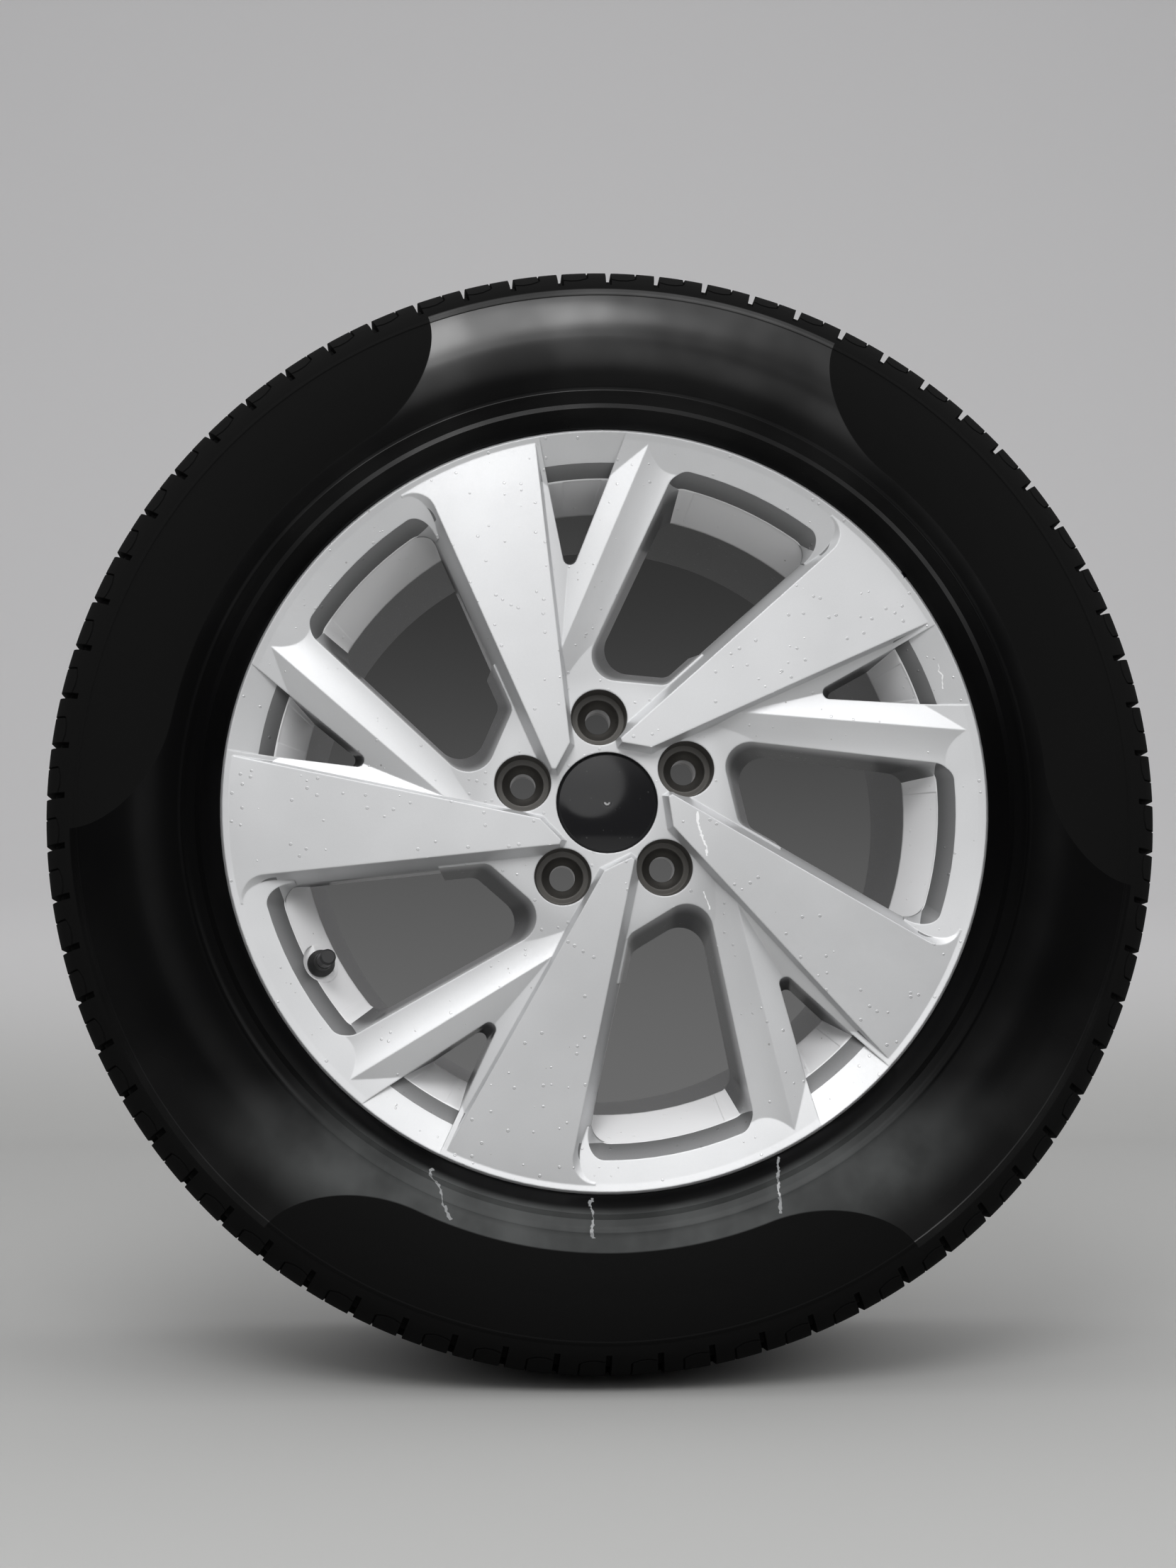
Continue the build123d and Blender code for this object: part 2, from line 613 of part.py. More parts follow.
def tyre():
    """The tyre with its main grooves and the slots over its shoulders."""
    edge_r = crown_r(TREAD_HALF)
    edge_turn = asin(TREAD_HALF / CROWN_R)
    shoulder_r = edge_r - SHOULDER_R * cos(edge_turn)
    shoulder_z = TREAD_HALF - SHOULDER_R * sin(edge_turn)

    def on_shoulder(turn):
        return shoulder_r + SHOULDER_R * cos(turn), shoulder_z + SHOULDER_R * sin(turn)

    end_turn = radians(SHOULDER_TURN)
    line_z = FLANGE_TIP_Z + BEAD_LINE_OVERHANG
    liner_r = TYRE_R - CROWN_THICK
    inner_half = TYRE_WIDTH / 2 - SIDEWALL_THICK
    bead_r = BEAD_SEAT_R + BEAD_GAP
    bead_z = HALF_WIDTH - BEAD_GAP
    curl_r = FLANGE_CURL_R + BEAD_GAP
    toe_z = bead_z - BEAD_WIDTH
    shoulder_end = on_shoulder(end_turn)
    line_top = (BEAD_LINE_R + BEAD_LINE_WIDTH, line_z - BEAD_LINE_HEIGHT)
    tip = (CURL_CENTRE_R + curl_r, CURL_CENTRE_Z)
    liner_end = (liner_r - LINER_DROP, LINER_HALF_WIDTH)
    half = [
        ThreePointArc((edge_r, TREAD_HALF), on_shoulder((edge_turn + end_turn) / 2), shoulder_end),
        ThreePointArc(shoulder_end, (WIDEST_R, TYRE_WIDTH / 2), line_top),
        Polyline(line_top, (BEAD_LINE_R, line_z), (BEAD_LINE_R - BEAD_LINE_HEIGHT, line_z - BEAD_LINE_HEIGHT),
                 (tip[0] + BEAD_LINE_HEIGHT, FLANGE_TIP_Z + BEAD_LINE_HEIGHT), tip),
        curl(1, curl_r),
        Polyline((CURL_CENTRE_R, bead_z), (bead_r + BEAD_HEEL_R, bead_z), (bead_r, bead_z - BEAD_HEEL_R),
                 (bead_r, toe_z)),
        Polyline((bead_r, toe_z), ((bead_r + WIDEST_R) / 2, inner_half - SIDEWALL_THICK), (WIDEST_R, inner_half),
                 (liner_end[0] - SIDEWALL_THICK, (inner_half + LINER_HALF_WIDTH) / 2 + SIDEWALL_THICK), liner_end),
    ]
    other = [line.mirror(Plane.XZ) for line in half]
    crown = ThreePointArc((edge_r, -TREAD_HALF), (TYRE_R, 0), (edge_r, TREAD_HALF))
    liner = Polyline(liner_end, (liner_r, 0), (liner_end[0], -liner_end[1]))
    body = ring_of(crown, *half, liner, *other)
    grooves = []
    for side in (1, -1):
        for place in GROOVE_PLACES:
            floor_r = crown_r(place) - GROOVE_DEPTH
            low, high = side * place - GROOVE_WIDTH / 2, side * place + GROOVE_WIDTH / 2
            grooves.append(round_ring((floor_r, low), (TYRE_R + CLEAR, low), (TYRE_R + CLEAR, high),
                                      (floor_r, high)))
    slot = Polyline(
        (crown_r(SLOT_START) - SLOT_DEPTH, SLOT_START),
        (TYRE_R + CLEAR, SLOT_START),
        (TYRE_R + CLEAR, TYRE_WIDTH / 2),
        (SLOT_END_R, TYRE_WIDTH / 2),
        on_shoulder(end_turn),
        (edge_r - SLOT_DEPTH, TREAD_HALF),
        close=True,
    )
    slot = extrude(Plane.XZ * make_face(slot), SLOT_WIDTH / 2, both=True)
    slots = [Rot(0, 0, 360 * k / SLOTS) * slot for k in range(SLOTS)]
    slots += [Rot(0, 0, 360 * (k + 0.5) / SLOTS) * slot.mirror(Plane.XY) for k in range(SLOTS)]
    return body - (grooves + slots)


def centre_cap():
    """The domed cap over the hub, with legs that clip under the throat of the bore."""
    head_r = CAP_SEAT_R - CAP_GAP
    leg_r = CLIP_THROAT_R - CAP_GAP
    top_z = PAD_Z - CAP_RECESS
    nib_z = THROAT_Z - CAP_GAP
    foot_z = BORE_END_Z + CAP_GAP
    dome_half = head_r - CAP_EDGE
    dome_r = (dome_half ** 2 + CAP_DOME ** 2) / (2 * CAP_DOME)
    half_turn = asin(dome_half / dome_r) / 2
    dome = ThreePointArc(
        (dome_half, top_z),
        (dome_r * sin(half_turn), top_z + CAP_DOME - dome_r * (1 - cos(half_turn))),
        (0, top_z + CAP_DOME),
    )
    rest = Polyline(
        (0, top_z + CAP_DOME),
        (0, top_z - CAP_SKIN),
        (leg_r - CAP_LEG_THICK, top_z - CAP_SKIN),
        (leg_r - CAP_LEG_THICK, foot_z),
        (leg_r, foot_z),
        (leg_r + CAP_NIB, nib_z - CAP_NIB_HEIGHT),
        (leg_r + CAP_NIB, nib_z),
        (leg_r, nib_z),
        (leg_r, CAP_SEAT_Z),
        (head_r, CAP_SEAT_Z),
        (head_r, top_z - CAP_EDGE),
        (dome_half, top_z),
    )
    leg_length = CAP_SEAT_Z - foot_z
    gap = Pos(0, 0, CAP_SEAT_Z - leg_length / 2) * Box(2 * HUB_BORE_R, CAP_LEG_GAP, leg_length)
    return ring_of(dome, rest) - [Rot(0, 0, 360 * k / CAP_LEGS) * gap for k in range(CAP_LEGS // 2)]


def cap_spring_ring():
    """The open wire ring that holds the cap's legs apart."""
    ring_r = CLIP_THROAT_R - CAP_GAP - CAP_LEG_THICK - SPRING_WIRE_R - SPRING_FIT
    wire = Plane.XZ * Pos(ring_r, (THROAT_Z + CAP_SEAT_Z) / 2) * RegularPolygon(SPRING_WIRE_R, WIRE_SIDES)
    return revolve(wire, Axis.Z, 360 - SPRING_GAP_ANGLE)


def valve_stem_rubber():
    """The rubber of the snap-in valve: head, groove for the rim, shoulder and neck."""
    head_z = -VALVE_WALL - STEM_FIT
    return round_ring(
        (INSERT_R, head_z - STEM_HEAD_THICK),
        (STEM_HEAD_R - STEM_HEAD_THICK / 2, head_z - STEM_HEAD_THICK),
        (STEM_HEAD_R, head_z - STEM_HEAD_THICK / 2),
        (STEM_HEAD_R, head_z),
        (VALVE_HOLE_R - STEM_FIT, head_z),
        (VALVE_HOLE_R - STEM_FIT, 0),
        (STEM_SHOULDER_R, 0),
        (STEM_SHOULDER_R, STEM_SHOULDER_HEIGHT),
        (STEM_NECK_R, STEM_NECK_HEIGHT),
        (STEM_TOP_R, STEM_RUBBER_HEIGHT),
        (INSERT_R, STEM_RUBBER_HEIGHT),
    )


def valve_stem_insert():
    """The brass tube bonded into the rubber, with the thread for the cap at its top."""
    return round_ring(
        (INSERT_TAIL_BORE_R, -INSERT_TAIL),
        (INSERT_R, -INSERT_TAIL),
        (INSERT_R, STEM_RUBBER_HEIGHT),
        (INSERT_THREAD_R, STEM_RUBBER_HEIGHT),
        (INSERT_THREAD_R, INSERT_HEIGHT),
        (INSERT_BORE_R, INSERT_HEIGHT),
        (INSERT_BORE_R, INSERT_BORE_FLOOR),
        (INSERT_TAIL_BORE_R, INSERT_BORE_FLOOR),
    )


def valve_core_body():
    """The plug screwed into the stem, which guides the pin."""
    length = INSERT_HEIGHT - CORE_RECESS - CORE_BASE
    plug = Cylinder(INSERT_BORE_R - CORE_FIT, length) - Cylinder(CORE_HOLE_R, length)
    return Pos(0, 0, CORE_BASE + length / 2) * plug


def valve_core_pin():
    """The pin that opens the valve, with the foot that carries the seal."""
    top = INSERT_HEIGHT - PIN_RECESS
    foot_top = CORE_BASE - CORE_SEAL_THICK
    return round_ring(
        (0, PIN_TAIL),
        (PIN_R, PIN_TAIL),
        (PIN_R, foot_top - PIN_FOOT_THICK),
        (PIN_FOOT_R, foot_top - PIN_FOOT_THICK),
        (PIN_FOOT_R, foot_top),
        (PIN_R, foot_top),
        (PIN_R, top),
        (0, top),
    )


def valve_core_seal():
    """The rubber washer between the pin's foot and the plug."""
    washer = Cylinder(CORE_SEAL_R, CORE_SEAL_THICK) - Cylinder(PIN_R, CORE_SEAL_THICK)
    return Pos(0, 0, CORE_BASE - CORE_SEAL_THICK / 2) * washer


def valve_core_spring():
    """The coil between the floor of the bore and the pin's foot."""
    room = CORE_BASE - CORE_SEAL_THICK - PIN_FOOT_THICK - INSERT_BORE_FLOOR
    height = room - 2 * CORE_SPRING_WIRE_R
    coil = Helix(height / CORE_SPRING_TURNS, height, CORE_SPRING_R)
    wire = Plane(origin=coil @ 0, z_dir=coil % 0) * RegularPolygon(CORE_SPRING_WIRE_R, WIRE_SIDES)
    return Pos(0, 0, INSERT_BORE_FLOOR + CORE_SPRING_WIRE_R) * sweep(wire, path=coil, is_frenet=True)


def valve_cap():
    """The dust cap: a many-sided grip with a chamfered top over the threaded end of the stem."""
    foot = STEM_RUBBER_HEIGHT + VALVE_CAP_GAP
    depth = INSERT_HEIGHT + CAP_SEAL_THICK - foot
    grip = Pos(0, 0, foot) * extrude(RegularPolygon(VALVE_CAP_R, VALVE_CAP_SIDES), VALVE_CAP_TOP - foot)
    chamfered = round_ring(
        (0, foot),
        (VALVE_CAP_R, foot),
        (VALVE_CAP_R, VALVE_CAP_TOP - VALVE_CAP_EDGE),
        (VALVE_CAP_R - VALVE_CAP_EDGE, VALVE_CAP_TOP),
        (0, VALVE_CAP_TOP),
    )
    hole = Pos(0, 0, foot + depth / 2) * Cylinder(INSERT_THREAD_R + VALVE_CAP_FIT, depth)
    return (grip & chamfered) - hole


def valve_cap_seal():
    """The washer in the top of the dust cap."""
    return Pos(0, 0, INSERT_HEIGHT + CAP_SEAL_THICK / 2) * Cylinder(INSERT_THREAD_R, CAP_SEAL_THICK)


stand_up = Rot(90, 0, 0)
nodes = {
    "alloy_wheel": alloy_wheel(),
    "tyre": tyre(),
    "centre_cap": centre_cap(),
    "cap_spring_ring": cap_spring_ring(),
    "valve_stem_rubber": valve_place() * valve_stem_rubber(),
    "valve_stem_insert": valve_place() * valve_stem_insert(),
    "valve_core_body": valve_place() * valve_core_body(),
    "valve_core_pin": valve_place() * valve_core_pin(),
    "valve_core_seal": valve_place() * valve_core_seal(),
    "valve_core_spring": valve_place() * valve_core_spring(),
    "valve_cap": valve_place() * valve_cap(),
    "valve_cap_seal": valve_place() * valve_cap_seal(),
}
os.makedirs("parts", exist_ok=True)
for name, node in nodes.items():
    export_step(stand_up * node, f"parts/{name}.step")
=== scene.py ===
from math import asin, pi, radians, tau

import bmesh
import bpy
import numpy as np
from bpy.props import FloatProperty, FloatVectorProperty, IntProperty, PointerProperty
from bpy.types import Operator, Panel, PropertyGroup
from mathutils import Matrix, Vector


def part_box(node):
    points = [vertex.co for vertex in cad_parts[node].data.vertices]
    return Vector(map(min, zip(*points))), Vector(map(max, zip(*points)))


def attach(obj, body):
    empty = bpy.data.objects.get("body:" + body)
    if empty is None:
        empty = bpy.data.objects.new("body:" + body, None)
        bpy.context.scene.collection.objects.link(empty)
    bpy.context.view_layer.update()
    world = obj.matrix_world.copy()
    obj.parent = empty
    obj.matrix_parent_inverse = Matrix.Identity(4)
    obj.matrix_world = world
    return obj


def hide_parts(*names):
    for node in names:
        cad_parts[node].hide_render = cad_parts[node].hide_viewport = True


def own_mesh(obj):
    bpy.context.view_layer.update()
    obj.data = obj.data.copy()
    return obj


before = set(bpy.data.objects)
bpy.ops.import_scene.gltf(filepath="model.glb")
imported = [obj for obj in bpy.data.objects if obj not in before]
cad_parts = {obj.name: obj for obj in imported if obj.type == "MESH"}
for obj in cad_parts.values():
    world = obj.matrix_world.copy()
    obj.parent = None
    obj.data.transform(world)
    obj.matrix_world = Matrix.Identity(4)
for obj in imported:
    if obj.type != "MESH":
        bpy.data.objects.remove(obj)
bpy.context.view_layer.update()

bl_info = {
    "name": "Road Wheel Dressing",
    "version": (1, 0, 0),
    "blender": (4, 5, 0),
    "location": "View3D > Sidebar > Road Wheel",
    "description": "Paints the casting, moulds the tyre, paints the small parts and sets the studio",
    "category": "Object",
}

MM = 0.001
TYRE_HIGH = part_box("tyre")[1]
RIM_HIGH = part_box("alloy_wheel")[1]
TYRE_R = TYRE_HIGH[2]
FLANGE_R = RIM_HIGH[2]


class CastingFinish(PropertyGroup):
    """Edges and paint of the cast wheel."""

    edge_round: FloatProperty(
        name="Edge Rounding", description="Rounding that the shading gives to the casting's edges",
        default=1.2 * MM, unit="LENGTH")
    paint: FloatVectorProperty(
        name="Paint", description="Colour of the silver paint",
        default=(0.62, 0.625, 0.635), size=3, subtype="COLOR")
    bare: FloatVectorProperty(
        name="Bolt Pockets", description="Colour of the bare metal in the bolt pockets",
        default=(0.11, 0.105, 0.098), size=3, subtype="COLOR")


class TyreForm(PropertyGroup):
    """Sizes and colours of the moulded tyre."""

    pitches: IntProperty(
        name="Pitches", description="Tread blocks round the tyre", default=68)
    groove_depth: FloatProperty(
        name="Groove Depth", description="Depth of the grooves round the tread",
        default=7 * MM, unit="LENGTH")
    slot_depth: FloatProperty(
        name="Slot Depth", description="Depth of the slots across the shoulder",
        default=5 * MM, unit="LENGTH")
    sipe_depth: FloatProperty(
        name="Sipe Depth", description="Depth of the thin arched cuts beside the slots",
        default=1.4 * MM, unit="LENGTH")
    rubber: FloatVectorProperty(
        name="Rubber", description="Colour of the smooth rubber",
        default=(0.0012, 0.0012, 0.0013), size=3, subtype="COLOR")
    panel: FloatVectorProperty(
        name="Matt Panels", description="Colour of the matt panels on the sidewall",
        default=(0.006, 0.006, 0.006), size=3, subtype="COLOR")


class Studio(PropertyGroup):
    """Floor, backdrop, lamps and camera."""

    floor: FloatVectorProperty(
        name="Floor", description="Colour of the floor",
        default=(0.37, 0.37, 0.365), size=3, subtype="COLOR")
    wall: FloatVectorProperty(
        name="Wall", description="Colour of the backdrop",
        default=(0.66, 0.655, 0.665), size=3, subtype="COLOR")
    backdrop: FloatProperty(
        name="Backdrop", description="Distance of the backdrop behind the wheel",
        default=1.55, unit="LENGTH")
    sky: FloatProperty(
        name="Sky", description="Strength of the light from above", default=1.35)
    horizon: FloatProperty(
        name="Horizon", description="Strength of the light from the sides", default=0.1)
    key: FloatProperty(
        name="Key Lamp", description="Power of the lamp above the camera", default=12.5)
    front: FloatProperty(
        name="Front Lamp", description="Power of the wide lamp behind the camera", default=2.7)
    fill: FloatProperty(
        name="Fill Lamp", description="Power of the lamp to the right", default=5.0)
    shade: FloatVectorProperty(
        name="Shade", description="Grey of the shade behind the wheel, seen through its windows",
        default=(0.075, 0.075, 0.075), size=3, subtype="COLOR")
    lens: FloatProperty(
        name="Lens", description="Focal length of the camera in millimetres", default=36.15)
    eye: FloatVectorProperty(
        name="Camera Place", description="Where the camera stands",
        default=(-0.04826, -0.98023, -0.09907), size=3, subtype="TRANSLATION")
    aim: FloatVectorProperty(
        name="Camera Turn", description="How the camera is turned",
        default=(radians(96.92), radians(-0.084), radians(-2.367)), size=3, subtype="EULER")


# ---------------------------------------------------------------- node helpers

def new_material(name, settings):
    """A material with one Principled shader whose sockets take the settings given."""
    material = bpy.data.materials.new(name)
    material.use_nodes = True
    shader = material.node_tree.nodes["Principled BSDF"]
    for socket, value in settings.items():
        shader.inputs[socket].default_value = value
    return material, material.node_tree, shader


def add(tree, kind, **settings):
    """A node of a kind with its properties set."""
    node = tree.nodes.new(kind)
    for key, value in settings.items():
        setattr(node, key, value)
    return node


def feed(tree, target, value):
    """Fills an input with a constant or links it to an output."""
    if isinstance(value, bpy.types.NodeSocket):
        tree.links.new(value, target)
    else:
        target.default_value = value


def calc(tree, operation, *values, clamp=False):
    """A Math node on numbers or outputs."""
    node = add(tree, "ShaderNodeMath", operation=operation, use_clamp=clamp)
    for socket, value in zip(node.inputs, values):
        feed(tree, socket, value)
    return node.outputs[0]


def plus(tree, first, second):
    """The sum of two values."""
    return calc(tree, "ADD", first, second)


def minus(tree, first, second):
    """The first value less the second."""
    return calc(tree, "SUBTRACT", first, second)


def above(tree, value, limit):
    """1 where a value is over a limit, 0 elsewhere."""
    return calc(tree, "GREATER_THAN", value, limit)


def below(tree, value, limit):
    """1 where a value is under a limit, 0 elsewhere."""
    return calc(tree, "LESS_THAN", value, limit)


def product(tree, first, *others):
    """All the values multiplied."""
    for other in others:
        first = calc(tree, "MULTIPLY", first, other)
    return first


def largest(tree, first, *others):
    """The largest of the values."""
    for other in others:
        first = calc(tree, "MAXIMUM", first, other)
    return first


def rest(tree, share):
    """What a share leaves of the whole."""
    return minus(tree, 1.0, share)


def hypotenuse(tree, first, second):
    """The long side of a right triangle."""
    squares = plus(tree, product(tree, first, first), product(tree, second, second))
    return calc(tree, "SQRT", squares)


def span(tree, value, low, high, start=0.0, end=1.0, curve="SMOOTHSTEP"):
    """Maps a value from one range to another and holds it there."""
    node = add(tree, "ShaderNodeMapRange", interpolation_type=curve)
    parts = {"Value": value, "From Min": low, "From Max": high, "To Min": start, "To Max": end}
    for name, part in parts.items():
        feed(tree, node.inputs[name], part)
    return node.outputs["Result"]


def mix(tree, share, first, second):
    """A colour between two colours."""
    node = add(tree, "ShaderNodeMix", data_type="RGBA")
    for number, value in ((0, share), (6, first), (7, second)):
        feed(tree, node.inputs[number], value)
    return node.outputs[2]


def colour(values, scale=1.0):
    """A colour for a socket, made lighter or darker."""
    return (*(min(value * scale, 1.0) for value in values), 1.0)


def noise(tree, scale, detail=2.0):
    """Noise in the object's own coordinates."""
    node = add(tree, "ShaderNodeTexNoise")
    feed(tree, node.inputs["Vector"], add(tree, "ShaderNodeTexCoord").outputs["Object"])
    node.inputs["Scale"].default_value = scale
    node.inputs["Detail"].default_value = detail
    return node.outputs["Fac"]


def cloud(tree, scale, detail, start=0.0, end=1.0):
    """Soft patches of noise between two values."""
    return span(tree, noise(tree, scale, detail), 0.3, 0.7, start, end)


def grain(tree, scale, detail, start, end):
    """Fine noise between two values."""
    return span(tree, noise(tree, scale, detail), 0.2, 0.8, start, end)


def bump(tree, shader, height, strength, distance, normal=None):
    """Turns a height, on top of a normal where one is given, into the shader's normal."""
    node = add(tree, "ShaderNodeBump")
    feed(tree, node.inputs["Height"], height)
    if normal:
        feed(tree, node.inputs["Normal"], normal)
    node.inputs["Strength"].default_value = strength
    node.inputs["Distance"].default_value = distance
    feed(tree, shader.inputs["Normal"], node.outputs[0])


def parts_of(tree, vector):
    """The three parts of a vector."""
    node = add(tree, "ShaderNodeSeparateXYZ")
    feed(tree, node.inputs[0], vector)
    return node.outputs


def own_place(tree):
    """Place in the object's own coordinates: across, along the axis and up."""
    return parts_of(tree, add(tree, "ShaderNodeTexCoord").outputs["Object"])


def from_axis(tree):
    """Angle round the wheel's axis, distance from it and distance along it."""
    across, along, up = own_place(tree)
    return calc(tree, "ARCTAN2", up, across), hypotenuse(tree, across, up), along


# ---------------------------------------------------------------- shared masks

SPOT_LEAST = 0.35
SPOT_CORE = 0.7
STREAK_CORE = 0.6
SWAY_SCALE = 130.0
THINNING_SCALE = 420.0
FRONT_END = -70 * MM
PANEL_EDGE = 0.5 * MM


def new_group(name, **inputs):
    """An empty shader node group with numbers as inputs and a mask as its output."""
    group = bpy.data.node_groups.new(name, "ShaderNodeTree")
    for label, value in inputs.items():
        socket = group.interface.new_socket(label, in_out="INPUT", socket_type="NodeSocketFloat")
        socket.default_value = value
    group.interface.new_socket("Mask", in_out="OUTPUT", socket_type="NodeSocketFloat")
    given = add(group, "NodeGroupInput").outputs
    return group, given, add(group, "NodeGroupOutput").inputs["Mask"]


def specks_group(name):
    """Small dots: cells of a Voronoi pattern, a few of which are kept as round spots."""
    group, given, result = new_group(name, Scale=300.0, Size=0.2, Share=0.2)
    cells = add(group, "ShaderNodeTexVoronoi")
    feed(group, cells.inputs["Vector"], add(group, "ShaderNodeTexCoord").outputs["Object"])
    feed(group, cells.inputs["Scale"], given["Scale"])
    pick = add(group, "ShaderNodeSeparateColor")
    feed(group, pick.inputs[0], cells.outputs["Color"])
    kept = below(group, pick.outputs[0], given["Share"])
    reach = product(group, given["Size"], plus(group, SPOT_LEAST, pick.outputs[1]))
    spot = span(group, cells.outputs["Distance"], reach, product(group, reach, SPOT_CORE))
    feed(group, result, product(group, kept, spot))
    return group


def bolt_group(name):
    """The five bolt pockets: one hole's circle, repeated by folding the angle round the axis."""
    group, given, result = new_group(
        name, First=0.0, Count=5.0, Circle=50 * MM, Hole=16.4 * MM, Depth=-76.6 * MM)
    angle, radius, along = from_axis(group)
    half = product(group, calc(group, "DIVIDE", tau, given["Count"]), 0.5)
    past_first = minus(group, angle, given["First"])
    turn = calc(group, "WRAP", past_first, half, product(group, half, -1.0))
    out = minus(group, product(group, radius, calc(group, "COSINE", turn)), given["Circle"])
    aside = product(group, radius, calc(group, "SINE", turn))
    inside = below(group, hypotenuse(group, out, aside), given["Hole"])
    feed(group, result, product(group, inside, above(group, along, given["Depth"])))
    return group


def streak_group(name):
    """One ragged streak on the front: a line from a point along a heading, swayed and thinned by
    noise."""
    group, given, result = new_group(
        name, X=0.0, Z=0.0, Heading=0.0, Length=20 * MM, Width=0.8 * MM, Sway=3 * MM)
    across, along, height = own_place(group)
    right = minus(group, across, given["X"])
    up = minus(group, height, given["Z"])
    ahead = calc(group, "COSINE", given["Heading"])
    aside = calc(group, "SINE", given["Heading"])
    gone = plus(group, product(group, right, ahead), product(group, up, aside))
    off = minus(group, product(group, up, ahead), product(group, right, aside))
    wave = product(group, minus(group, noise(group, SWAY_SCALE), 0.5), given["Sway"])
    far = calc(group, "ABSOLUTE", plus(group, off, wave))
    thinned = span(group, noise(group, THINNING_SCALE, 1.0), 0.35, 0.65, 0.3, 1.2)
    half = product(group, given["Width"], thinned)
    line = span(group, far, half, product(group, half, STREAK_CORE))
    part = product(group, above(group, gone, 0.0), below(group, gone, given["Length"]))
    feed(group, result, product(group, line, part, below(group, along, FRONT_END)))
    return group


def panel_group(name):
    """One matt sidewall panel: outside a circle whose radius sweeps up to the shoulder at both ends
    of the panel as a quarter of an ellipse."""
    group, given, result = new_group(
        name, Middle=0.0, Half=0.63, End=0.24, Inner=249 * MM, Outer=300 * MM)
    angle, radius, _ = from_axis(group)
    turn = calc(group, "WRAP", minus(group, angle, given["Middle"]), pi, -pi)
    end_start = minus(group, given["Half"], given["End"])
    past = minus(group, calc(group, "ABSOLUTE", turn), end_start)
    share = calc(group, "DIVIDE", past, given["End"], clamp=True)
    rise = rest(group, calc(group, "SQRT", rest(group, product(group, share, share))))
    climb = product(group, rise, minus(group, given["Outer"], given["Inner"]))
    past_border = minus(group, radius, plus(group, given["Inner"], climb))
    feed(group, result, span(group, past_border, -PANEL_EDGE, PANEL_EDGE))
    return group


MASK_GROUPS = {
    "Specks": specks_group,
    "Bolt Pockets": bolt_group,
    "Streak": streak_group,
    "Sidewall Panel": panel_group,
}


def mask(tree, name, **values):
    """The mask of a shared node group with these values. The group is built at its first use."""
    if name not in bpy.data.node_groups:
        MASK_GROUPS[name](name)
    node = add(tree, "ShaderNodeGroup", node_tree=bpy.data.node_groups[name])
    for label, value in values.items():
        node.inputs[label].default_value = value
    return node.outputs["Mask"]


def streaks(tree, places):
    """The joined mask of several streaks, each given by its place, heading in degrees, length, width
    and sway, with all lengths in millimetres."""
    masks = []
    for x, z, heading, length, width, sway in places:
        masks.append(mask(tree, "Streak", X=x * MM, Z=z * MM, Heading=radians(heading),
                          Length=length * MM, Width=width * MM, Sway=sway * MM))
    return largest(tree, *masks)


# ---------------------------------------------------------------- paint of the casting

FIRST_BOLT = radians(23.4)
# Distances along the axis
BEVEL_TOP = -82.4 * MM
WALL_START = -82 * MM
BEVEL_END = -73.4 * MM
BAND_START = BEVEL_END - 0.3 * MM
WALL_DARK = -64 * MM
SPOKE_BACK = -48 * MM
SPOKE_BACK_FADE = 3 * MM
# The barrel's darkening ends here along the axis: brake dust with painted shade, as the barrel lies in
# shade.
DUST_AND_SHADE_END = 60 * MM
DUST_AND_SHADE_FADE = 3 * MM
DUST_AND_SHADE_WANDER = 8 * MM
# Distances from the axis
WINDOWS_START_R = 62 * MM
WINDOWS_FULL_R = 78 * MM
BARREL_R = 180 * MM
THROAT_R = 193.6 * MM
BEVEL_R = 202.8 * MM
BAND_MARGIN = 0.8 * MM
BEVEL_MARGIN = 0.5 * MM
# How far a face may look to the front and still count as steep
STEEP_FACING = -0.85
# Shares of the paint's brightness
DEEP, LIGHT = 0.93, 1.05
# Shares of the paint left under painted shade on the windows' walls, and in the barrel, where painted shade
# darkens brake dust.
RECESS_SHADE, DUSTY_AND_SHADED = 0.2, 0.1
# Lighter tone of the band that slopes down to the barrel: painted light, as if lit through the windows.
LIT_BAND_TONE = (0.80, 0.80, 0.81)
DIRT_TONE = (0.10, 0.085, 0.07)
NICK_TONE = (0.02, 0.02, 0.03)
# Tone of the thin pale streaks on the paint.
PALE_STREAK_TONE = (0.92, 0.92, 0.93)
PAINT_METALLIC = 0.7
DROP_HEIGHT = 0.35 * MM
PALE_STREAKS = ((50.5, -6, -76, 26, 0.9, 4), (56, -51, -74, 11, 0.5, 3), (193, 82, -72, 15, 0.4, 5))
NICKS = ((172.5, 135.8, -52, 3.6, 1.6, 1),)


